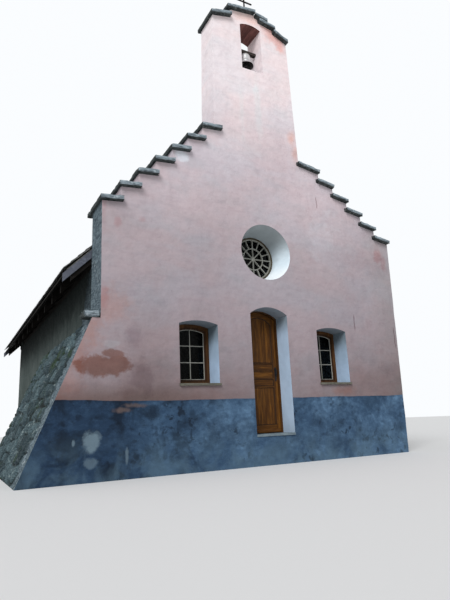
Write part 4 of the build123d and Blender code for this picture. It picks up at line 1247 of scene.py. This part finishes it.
def split_slab(corners, seed, chip, worn, rounding):
    """A bedded, chipped block: (points, faces, wear). What goes inward is noise on the faces, ledges on the
    sides, and chips that fade as e to the minus square of the distance from an edge."""
    spans = [np.linalg.norm(np.diff(corners, axis=a).reshape(-1, 3), axis=1).mean() for a in range(3)]
    cells = [max(4, int(round(s / cell))) for s, cell in zip(spans, (SLAB_CELL, SLAB_CELL, BED_CELL))]
    unit, faces = lattice(cells)
    share = np.stack([1 - unit, unit], axis=-1)
    points = np.einsum("ni,nj,nk,ijkc->nc", share[:, 0], share[:, 1], share[:, 2], corners)
    axes = np.stack([np.diff(corners, axis=a).reshape(-1, 3).mean(0) / spans[a] for a in range(3)])
    side = (unit > 0.999).astype(float) - (unit < 0.001)
    gap = np.minimum(unit, 1 - unit) * spans
    gap[side != 0] = 9.0
    bends = 0.5 + 0.5 * np.clip(rough(points + seed * 3.1, BEND_SCALE, seed) / 1.4, -1, 1)
    broken = np.clip(0.35 + rough(points + seed * 1.7, CHIP_SCALE, seed + 5), 0, 1) ** 2
    on_edge = (side != 0).sum(axis=1) > 1
    near_edge = np.where(on_edge, 1.0, np.exp(-(gap.min(axis=1) / EDGE_REACH) ** 2))
    beds = np.floor((points @ axes[2]) / BED_HEIGHT + noise(points, 3.0, seed) * BED_SWAY)
    back, right = np.floor(points[:, 1] * LEDGE_SCALE), np.floor(points[:, 0] * LEDGE_SCALE)
    ledge = chance(np.stack([beds, back, right], axis=1), seed)
    inward = worn * bends + (chip * broken + rounding * near_edge) * near_edge
    push = side * inward[:, None]
    push[:, :2] += side[:, :2] * (LEDGE_DEPTH * chip * ledge * (np.abs(side[:, 2]) < 0.5))[:, None]
    # wear and painted light: more on the upper part of a slab and near its edges
    wear_and_light = smooth_step(unit[:, 2], 0.15, 0.6) * (0.5 + 0.5 * near_edge * bends)
    return points - push @ axes, faces, np.clip(wear_and_light, 0, 1)


print("beds", BED_HEIGHT, "m high")

# %% Slabs on the steps, the bell gable and the buttress
SLABS = [
    # CAD node, then depths in metres of the chips, of the worn waves and of the rounded edges
    ("step_slabs_left", 0.010, 0.002, 0.006), ("step_slabs_right", 0.010, 0.003, 0.008),
    ("tower_slabs_left", 0.006, 0.003, 0.004), ("tower_slabs_right", 0.006, 0.003, 0.004),
    ("tower_ridge_slab", 0.006, 0.003, 0.004), ("buttress_capstone", 0.026, 0.006, 0.016),
]

for name, chip, worn, rounding in SLABS:
    corners = [eight_corners(solid) for solid in solids_of(name)]
    slabs = [split_slab(block, seed, chip, worn, rounding) for seed, block in enumerate(corners, 1)]
    mesh = mesh_of(*joined([slab[:2] for slab in slabs]))
    tag(mesh, "wear_and_light", np.concatenate([slab[2] for slab in slabs]))
    piece(name + "_split", mesh, ("schist",), replaces=(name,), sharp=28)
    print(name, len(slabs), "slabs,", len(mesh.polygons), "faces")

# %% [markdown]
# ## Shingle roof
# A roof as steep as this sheds snow and suits split larch shingles. Each one is a thin box laid a little
# flatter than the slope, so that its lower edge lies over the course below. Widths and tones vary, because
# each shingle is split by hand. Base boards close the layer underneath, and two rows of ridge boards cover
# the top ends. All boxes of a course are made at once from arrays, because thousands of separate objects
# would slow Blender down.

# %% Many boxes at once
BOX_FACES = np.array([(0, 2, 3, 1), (4, 5, 7, 6), (0, 1, 5, 4), (2, 6, 7, 3), (0, 4, 6, 2), (1, 3, 7, 5)])


def boxes(corner, along, across, up):
    """Each box is a corner and three edges (N x 3 each): its points are the corner plus any of the edges."""
    corner, along, across, up = (np.asarray(a, float).reshape(-1, 3) for a in (corner, along, across, up))
    count = max(map(len, (corner, along, across, up)))
    corner, along, across, up = (np.broadcast_to(a, (count, 3)) for a in (corner, along, across, up))
    bits = [(i, j, k) for k in (0, 1) for j in (0, 1) for i in (0, 1)]
    points = np.stack([corner + i * along + j * across + k * up for i, j, k in bits], axis=1).reshape(-1, 3)
    faces = (BOX_FACES[None] + 8 * np.arange(count)[:, None, None]).reshape(-1, 4)
    turned = np.einsum("ij,ij->i", np.cross(along, across), up) < 0
    return points, np.where(np.repeat(turned, 6)[:, None], faces[:, ::-1], faces)


def along_y(lengths):
    """Edges of given lengths along Y."""
    return np.stack([np.zeros_like(lengths), lengths, np.zeros_like(lengths)], axis=1)


print("faces of a box:", len(BOX_FACES))

# %% Roof geometry
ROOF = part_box("roof_covering_right")
RIDGE_Z, EAVE_X = ROOF[1][2], ROOF[1][0]
ROOF_FRONT, ROOF_REAR = ROOF[0][1], ROOF[1][1]
COVERING = 0.080
PITCH = radians(44.5)
SLOPE_LENGTH = EAVE_X / cos(PITCH)


def slope_frame(side):
    """Unit directions down the slope and square out of it, for the left (-1) or right (1) slope."""
    down = np.array([side * cos(PITCH), 0, -sin(PITCH)])
    out = np.array([side * sin(PITCH), 0, cos(PITCH)])
    return down, out


def on_slope(side, distance, y, depth):
    """Points at a distance down the slope from the ridge, a place along Y and a depth under its top."""
    down, out = slope_frame(side)
    distance, y, depth = np.broadcast_arrays(*(np.asarray(v, float) for v in (distance, y, depth)))
    points = np.array([0, 0, RIDGE_Z]) + distance[..., None] * down - depth[..., None] * out
    points[..., 1] = y
    return points


def split_widths(start, end, low, high, seed):
    """Ends of random pieces from low to high wide that fill start..end."""
    draw = low + (high - low) * chance(np.arange(int((end - start) / low) + 2)[:, None] * np.ones(3), seed)
    ends = start + np.concatenate([[0], np.cumsum(draw)])
    return np.append(ends[ends < end - low / 2], end)


print("slope", round(SLOPE_LENGTH, 3), "m long")

# %% One course
EXPOSURE, SHINGLE_LONG, SHINGLE_THICK = 0.18, 0.44, 0.014
SHINGLE_NARROW, SHINGLE_WIDE, SHINGLE_GAP = 0.10, 0.20, 0.003
BUTT_RAGGED, BUTT_LIFT, TOP_SINK = 0.012, 0.004, 0.030


def shingle_course(side, butt, seed):
    """One course: boxes whose lower ends lie at a distance down the slope, each lifted and worn at random."""
    ends = split_widths(ROOF_FRONT, ROOF_REAR, SHINGLE_NARROW, SHINGLE_WIDE, seed)
    count = len(ends) - 1
    keys = np.stack([np.arange(count), np.full(count, seed), np.zeros(count)], axis=1)
    lift = BUTT_LIFT * chance(keys, 2)
    top = max(butt - SHINGLE_LONG, 0.02)
    sink = SHINGLE_THICK + TOP_SINK * (butt - top) / SHINGLE_LONG + lift
    low = on_slope(side, butt - BUTT_RAGGED * chance(keys, 1), ends[:-1], SHINGLE_THICK + lift)
    high = on_slope(side, np.full(count, top), ends[:-1], sink)
    width = along_y(np.diff(ends) - SHINGLE_GAP - SHINGLE_GAP * chance(keys, 3))
    points, faces = boxes(high, low - high, width, (SHINGLE_THICK - 0.001) * slope_frame(side)[1])
    return points, faces, np.repeat(chance(keys, 4), 8)


print("courses to a slope:", int(np.ceil(SLOPE_LENGTH / EXPOSURE)))

# %% Shingles
EAVE_BACK = 0.002  # the lowest shingles end this far inside the CAD roof
BASE_THICK, BASE_TONE, BASE_TOP, BASE_SHORT, BASE_INSET = 0.016, 0.2, 0.03, 0.07, 0.004
RIDGE_THICK, RIDGE_WIDE, RIDGE_SHORT, RIDGE_LONG, RIDGE_GAP = 0.022, 0.17, 1.6, 2.4, 0.004

for side, name in ((-1, "left"), (1, "right")):
    down, out = slope_frame(side)
    parts, tones = [], []
    for course in range(int(np.ceil(SLOPE_LENGTH / EXPOSURE))):
        butt = SLOPE_LENGTH - EAVE_BACK - course * EXPOSURE
        points, faces, tone = shingle_course(side, butt, course + 50 * (side > 0))
        parts.append((points, faces))
        tones.append(tone)
    base = on_slope(side, BASE_TOP, ROOF_FRONT + BASE_INSET, COVERING)
    base_long = (0, ROOF_REAR - ROOF_FRONT - 2 * BASE_INSET, 0)
    parts.append(boxes(base, down * (SLOPE_LENGTH - BASE_SHORT), base_long, out * BASE_THICK))
    tones.append(np.full(8, BASE_TONE))
    ridge_ends = split_widths(ROOF_FRONT, ROOF_REAR, RIDGE_SHORT, RIDGE_LONG, 90 + side)
    start = on_slope(side, np.zeros(len(ridge_ends) - 1), ridge_ends[:-1], RIDGE_THICK)
    parts.append(boxes(start, down * RIDGE_WIDE, along_y(np.diff(ridge_ends) - RIDGE_GAP), out * RIDGE_THICK))
    tones.append(np.repeat(0.3 + 0.5 * chance(np.round(start * 10), 5), 8))
    mesh = mesh_of(*joined(parts))
    tag(mesh, "tone", np.concatenate(tones))
    piece(f"shingles_{name}", mesh, ("shingle_timber",), replaces=(f"roof_covering_{name}",), sharp=20)
    print("shingles", name, len(mesh.polygons) // 6)

# %% [markdown]
# ## Glazing bars
# Each window has six panes between slim bars with chamfered edges, which a joiner halves over one another
# in the depth of the sash, with the glass behind them in putty. A bar is one outline carried along a
# straight line, and the putty a mitred strip carried round the arched light. The CAD model leaves both out,
# being too fine for it.

# %% Bars and beads
def bar(start, end, wide, deep, chamfer):
    """A straight bar in an upright XZ plane, its outline with two chamfers carried from start to end."""
    start, end = np.array(start, float), np.array(end, float)
    along = (end - start) / np.linalg.norm(end - start)
    across = np.array([along[2], 0, -along[0]])
    forward = np.array([0, -1.0, 0])
    outline = [(-wide / 2, 0), (wide / 2, 0), (wide / 2, deep - chamfer), (wide / 2 - chamfer, deep),
               (-wide / 2 + chamfer, deep), (-wide / 2, deep - chamfer)]
    ring = np.array([a * across + b * forward for a, b in outline])
    count = len(ring)
    i = np.arange(count)
    walls = np.stack([i, (i + 1) % count, (i + 1) % count + count, i + count], axis=1)
    ends = np.array([(0, 5, 2, 1), (5, 4, 3, 2), (6, 7, 8, 11), (11, 8, 9, 10)])
    faces = np.concatenate([walls, ends])
    turned = np.dot(np.cross(across, forward), along) < 0
    return np.concatenate([start + ring, end + ring]), faces[:, ::-1] if turned else faces


def bead(corners, y, facing, wide=0.016, deep=0.008):
    """A mitred strip of triangular section inside a closed outline, on a face that looks to -Y (-1) or +Y
    (1). At each corner its inner edge lies along the sum of the normals of the two edges that meet there."""
    outline = np.array(corners, float)
    ahead = np.roll(outline, -1, axis=0) - outline
    ahead /= np.linalg.norm(ahead, axis=1)[:, None]
    before = np.roll(ahead, 1, axis=0)
    mitre = np.stack([-ahead[:, 1], ahead[:, 0]], axis=1) + np.stack([-before[:, 1], before[:, 0]], axis=1)
    mitre *= (2 / (mitre ** 2).sum(axis=1))[:, None]
    inner = outline + wide * mitre
    count = len(outline)
    rings = [(outline, y), (inner, y), (outline, y + facing * deep)]
    points = np.concatenate([np.insert(shape, 1, at, axis=1) for shape, at in rings])
    i = np.arange(count)
    j = (i + 1) % count
    strips = [(a * count, b * count) for a, b in ((0, 1), (1, 2), (2, 0))]
    faces = np.concatenate([np.stack([i + a, j + a, j + b, i + b], 1) for a, b in strips])
    return points, faces if facing > 0 else faces[:, ::-1]


def arched_outline(left, right, foot, top, rise, steps):
    """A rectangle under a shallow arch, anticlockwise seen from the front; the arch is part of a circle whose
    radius is (half width² + rise²) / (2 rise)."""
    half, middle = (right - left) / 2, (left + right) / 2
    radius = (half ** 2 + rise ** 2) / (2 * rise)
    x = np.linspace(half, -half, steps + 1)
    arch = top - radius + np.sqrt(radius ** 2 - x ** 2)
    return [(left, foot), (right, foot)] + [(middle + a, b) for a, b in zip(x, arch)]


print("a bar has", len(bar((0, 0, 0), (0, 0, 1), 0.02, 0.02, 0.004)[1]), "faces")

# %% Window bars
BAR_WIDE, BAR_DEEP, BAR_CHAMFER, BAR_TENON = 0.018, 0.018, 0.004, 0.004
CROSS_BARS = (0.335, 0.665)
PUTTY = 0.012
LIGHT_RISE, LIGHT_STEPS = 0.064, 12


def window_bars(name):
    """One upright, two cross bars and a putty bead round the light of a sash, just in front of its glass."""
    (left, front, foot), (right, _, top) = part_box("window_glass_" + name)
    middle = (left + right) / 2
    low, high = (middle, front, foot - BAR_TENON), (middle, front, top + BAR_TENON)
    parts = [bar(low, high, BAR_WIDE, BAR_DEEP, BAR_CHAMFER)]
    for share in CROSS_BARS:
        z = foot + share * (top - foot)
        low, high = (left - BAR_TENON, front, z), (right + BAR_TENON, front, z)
        parts.append(bar(low, high, BAR_WIDE, BAR_DEEP - 0.001, BAR_CHAMFER))
    light = arched_outline(left, right, foot, top, LIGHT_RISE, LIGHT_STEPS)
    return joined(parts + [bead(light, front, -1, PUTTY, PUTTY)])


for name in ("left", "right"):
    piece("window_bars_" + name, mesh_of(*window_bars(name)), ("sash_paint",), sharp=20)
print("window bars:", BAR_WIDE, "m wide")

# %% [markdown]
# ## Bell
# A bell is cast in a mould turned by a board cut to its profile, so the profile is one flowing line with
# raised rings at the shoulder, the waist and the lip. It follows the CAD model's cones and rounds them off.
# Turning it about its axis in fine steps is the quickest way to such a shape, and the hollow inside comes
# with it.

# %% Turning
TURN_STEPS = 72


def turned(profile, x, y, z):
    """Surface of revolution about an upright axis; the profile is (radius, height) pairs, pole to pole."""
    radius, height = np.array(profile).T
    angle = 2 * pi * np.arange(TURN_STEPS) / TURN_STEPS
    heights = np.broadcast_to(height[:, None], (len(radius), TURN_STEPS))
    points = np.stack([x + radius[:, None] * np.cos(angle), y + radius[:, None] * np.sin(angle),
                       z + heights], axis=-1).reshape(-1, 3)
    i, j = np.meshgrid(np.arange(len(radius) - 1), np.arange(TURN_STEPS), indexing="ij")
    a, b = i * TURN_STEPS + j, i * TURN_STEPS + (j + 1) % TURN_STEPS
    mesh = mesh_of(points, np.stack([a, b, b + TURN_STEPS, a + TURN_STEPS], axis=-1).reshape(-1, 4))
    work = bmesh.new()
    work.from_mesh(mesh)
    bmesh.ops.remove_doubles(work, verts=work.verts, dist=1e-6)
    bmesh.ops.recalc_face_normals(work, faces=work.faces)
    work.to_mesh(mesh)
    work.free()
    return mesh


def add_to(mesh, points, faces):
    """Add separate points and faces to a mesh."""
    work = bmesh.new()
    work.from_mesh(mesh)
    extra = mesh_of(points, faces)
    work.from_mesh(extra)
    work.to_mesh(mesh)
    work.free()
    bpy.data.meshes.remove(extra)


print("turned in", TURN_STEPS, "steps")

# %% Bell
bell_low, bell_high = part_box("bell")
BELL_X, BELL_Y = (bell_low[0] + bell_high[0]) / 2, (bell_low[1] + bell_high[1]) / 2
LIP_Z = bell_low[2]
BELL_OUTSIDE = [
    (0.180, 0.0), (0.2035, 0.004), (0.2045, 0.012), (0.198, 0.022), (0.188, 0.034), (0.1815, 0.040),
    (0.1805, 0.050), (0.174, 0.056), (0.163, 0.076), (0.1525, 0.102), (0.1425, 0.124), (0.1395, 0.128),
    (0.1385, 0.140), (0.1335, 0.144), (0.127, 0.172), (0.1205, 0.200), (0.1155, 0.228), (0.1135, 0.232),
    (0.1125, 0.244), (0.1085, 0.248), (0.104, 0.264), (0.098, 0.280), (0.088, 0.292), (0.074, 0.2995),
    (0.030, 0.300), (0.0, 0.300)]
BELL_INSIDE = [(0.0, 0.284), (0.060, 0.284), (0.080, 0.276), (0.091, 0.258), (0.104, 0.210), (0.118, 0.150),
               (0.132, 0.104), (0.150, 0.062), (0.164, 0.026), (0.180, 0.0)]
CROWN_LONG, CROWN_WIDE, CROWN_FOOT = 0.118, 0.048, 0.298
HOLLOW_TOP = 0.29  # seen from here, under the crown, inner faces look back and outer faces look away

bell_mesh = turned(BELL_OUTSIDE + BELL_INSIDE, BELL_X, BELL_Y, LIP_Z)
crown_corner = (BELL_X - CROWN_LONG / 2, BELL_Y - CROWN_WIDE / 2, LIP_Z + CROWN_FOOT)
crown_rise = (0, 0, bell_high[2] - crown_corner[2])
add_to(bell_mesh, *boxes(crown_corner, (CROWN_LONG, 0, 0), (0, CROWN_WIDE, 0), crown_rise))
count = len(bell_mesh.polygons)
centres, normals = np.zeros(count * 3), np.zeros(count * 3)
bell_mesh.polygons.foreach_get("center", centres)
bell_mesh.polygons.foreach_get("normal", normals)
from_top = centres.reshape(-1, 3) - (BELL_X, BELL_Y, LIP_Z + HOLLOW_TOP)
hollow = (from_top * normals.reshape(-1, 3)).sum(axis=1) < 0
bell_mesh.polygons.foreach_set("material_index", hollow.astype(np.int32))
piece("bell_cast", bell_mesh, ("bell_metal", "bell_hollow"), body="bell", replaces=("bell",))
print("bell faces:", count, "of them inside:", int(hollow.sum()))

# %% [markdown]
# ## Door leaf
# The leaf is a frame of stiles and rails round sunk panels, with three short horizontal panels in the
# middle. The grain runs up in the stiles and panels and across in the rails, so the copy of the CAD leaf is
# cut along those joints first, and each face takes the timber of its direction. A mitred bead, glued in
# afterwards, softens the step down to each panel.

# %% Door leaf
(LEAF_LEFT, LEAF_FRONT, LEAF_FOOT), (LEAF_RIGHT, LEAF_BACK, LEAF_TOP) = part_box("door_leaf")
STILE, FOOT_RAIL, LOWER_PANEL, BAND_HIGH, BAND_GAP, BANDS = 0.095, 0.150, 0.730, 0.138, 0.018, 3
PANEL_SINK, PANEL_RISE = 0.009, 0.142
LOWER_FOOT = LEAF_FOOT + FOOT_RAIL
LOWER_TOP = LOWER_FOOT + LOWER_PANEL
BAND_FOOT = LOWER_TOP + BAND_GAP
UPPER_FOOT = BAND_FOOT + BANDS * (BAND_HIGH + BAND_GAP)
HEAD_RAIL = LEAF_TOP - STILE - PANEL_RISE
PANEL_LEFT, PANEL_RIGHT = LEAF_LEFT + STILE, LEAF_RIGHT - STILE

work = merged_copy("door_leaf")
for axis, place in ((0, PANEL_LEFT), (0, PANEL_RIGHT), (2, LOWER_FOOT), (2, LOWER_TOP), (2, UPPER_FOOT),
                    (2, HEAD_RAIL)):
    cut_plane(work, axis, place)
points, centres, normals = arrays_of(indexed(work))
x, y, z = centres.T
inside = (x > PANEL_LEFT) & (x < PANEL_RIGHT)
below_face = np.minimum(np.abs(y - LEAF_FRONT), np.abs(y - LEAF_BACK))
sunk = (below_face > PANEL_SINK / 2) & (np.abs(normals[:, 1]) > SQUARE)
bands = inside & (z > LOWER_TOP) & (z < UPPER_FOOT)
slots = np.where(bands | (inside & ~sunk), 1, 0)
piece("door_leaf_joinery", to_mesh(work, points, slots), ("door_timber_z", "door_timber_x"), body="door",
      replaces=("door_leaf",), sharp=20)
print("door leaf faces:", len(slots))

# %% Panel beads
HEAD_STEPS = 10


def rectangle(foot, top):
    """Corners of a panel between the stiles, anticlockwise seen from the front."""
    return [(PANEL_LEFT, foot), (PANEL_RIGHT, foot), (PANEL_RIGHT, top), (PANEL_LEFT, top)]


band_feet = [BAND_FOOT + BAND_GAP / 2 + i * (BAND_HIGH + BAND_GAP) for i in range(BANDS)]
arch_top = HEAD_RAIL + PANEL_RISE
outlines = [rectangle(LOWER_FOOT, LOWER_TOP),
            arched_outline(PANEL_LEFT, PANEL_RIGHT, UPPER_FOOT, arch_top, PANEL_RISE, HEAD_STEPS)]
outlines += [rectangle(foot, foot + BAND_HIGH) for foot in band_feet]
parts = []
for outline in outlines:
    parts.append(bead(outline, LEAF_FRONT + PANEL_SINK, -1))
    parts.append(bead(outline, LEAF_BACK - PANEL_SINK, 1))
# the beads take dark timber as painted shade in the grooves
piece("door_beads", mesh_of(*joined(parts)), ("groove_shade_timber",), body="door", sharp=20)
print("beads round", len(outlines), "panels on both faces")

# %% [markdown]
# ## Finishes on the nodes that stay
# The rest of the CAD model needs no new shape: frames, sashes, glass, rafters, floor, hinges and the cross.
# Each of those nodes takes one material of the right substance, with its grain along the timber. Making
# them again would only risk the fits that the CAD model already has.

# %% Materials for CAD nodes
KEPT = {
    "roof_timber_x": ("rafters",),
    "roof_timber_y": ("ridge_beam", "wall_plates", "roof_boards_left", "roof_boards_right", "eaves_blocking"),
    "verge_timber": ("verge_boards",), "paving": ("nave_floor",), "threshold_stone": ("door_threshold",),
    "sill_cement": ("window_sills",), "door_timber_x": ("door_weatherboard",),
    "frame_timber": ("door_frame", "window_frame_left", "window_frame_right"),
    "sash_timber": ("window_sash_left", "window_sash_right"),
    "pane": ("window_glass_left", "window_glass_right", "oculus_glass"),
    "ring_timber": ("oculus_frame",), "sash_paint": ("oculus_wheel",), "stock_oak": ("bell_headstock",),
    "forged_iron": ("door_straps", "door_pintles", "door_lock", "roof_cross", "bell_clapper",
                    "bell_bearings"),
}
for key, names in KEPT.items():
    for name in names:
        nodes[name].data.materials.clear()
        nodes[name].data.materials.append(MATERIAL[key])
print("finished CAD nodes:", sum(len(names) for names in KEPT.values()))
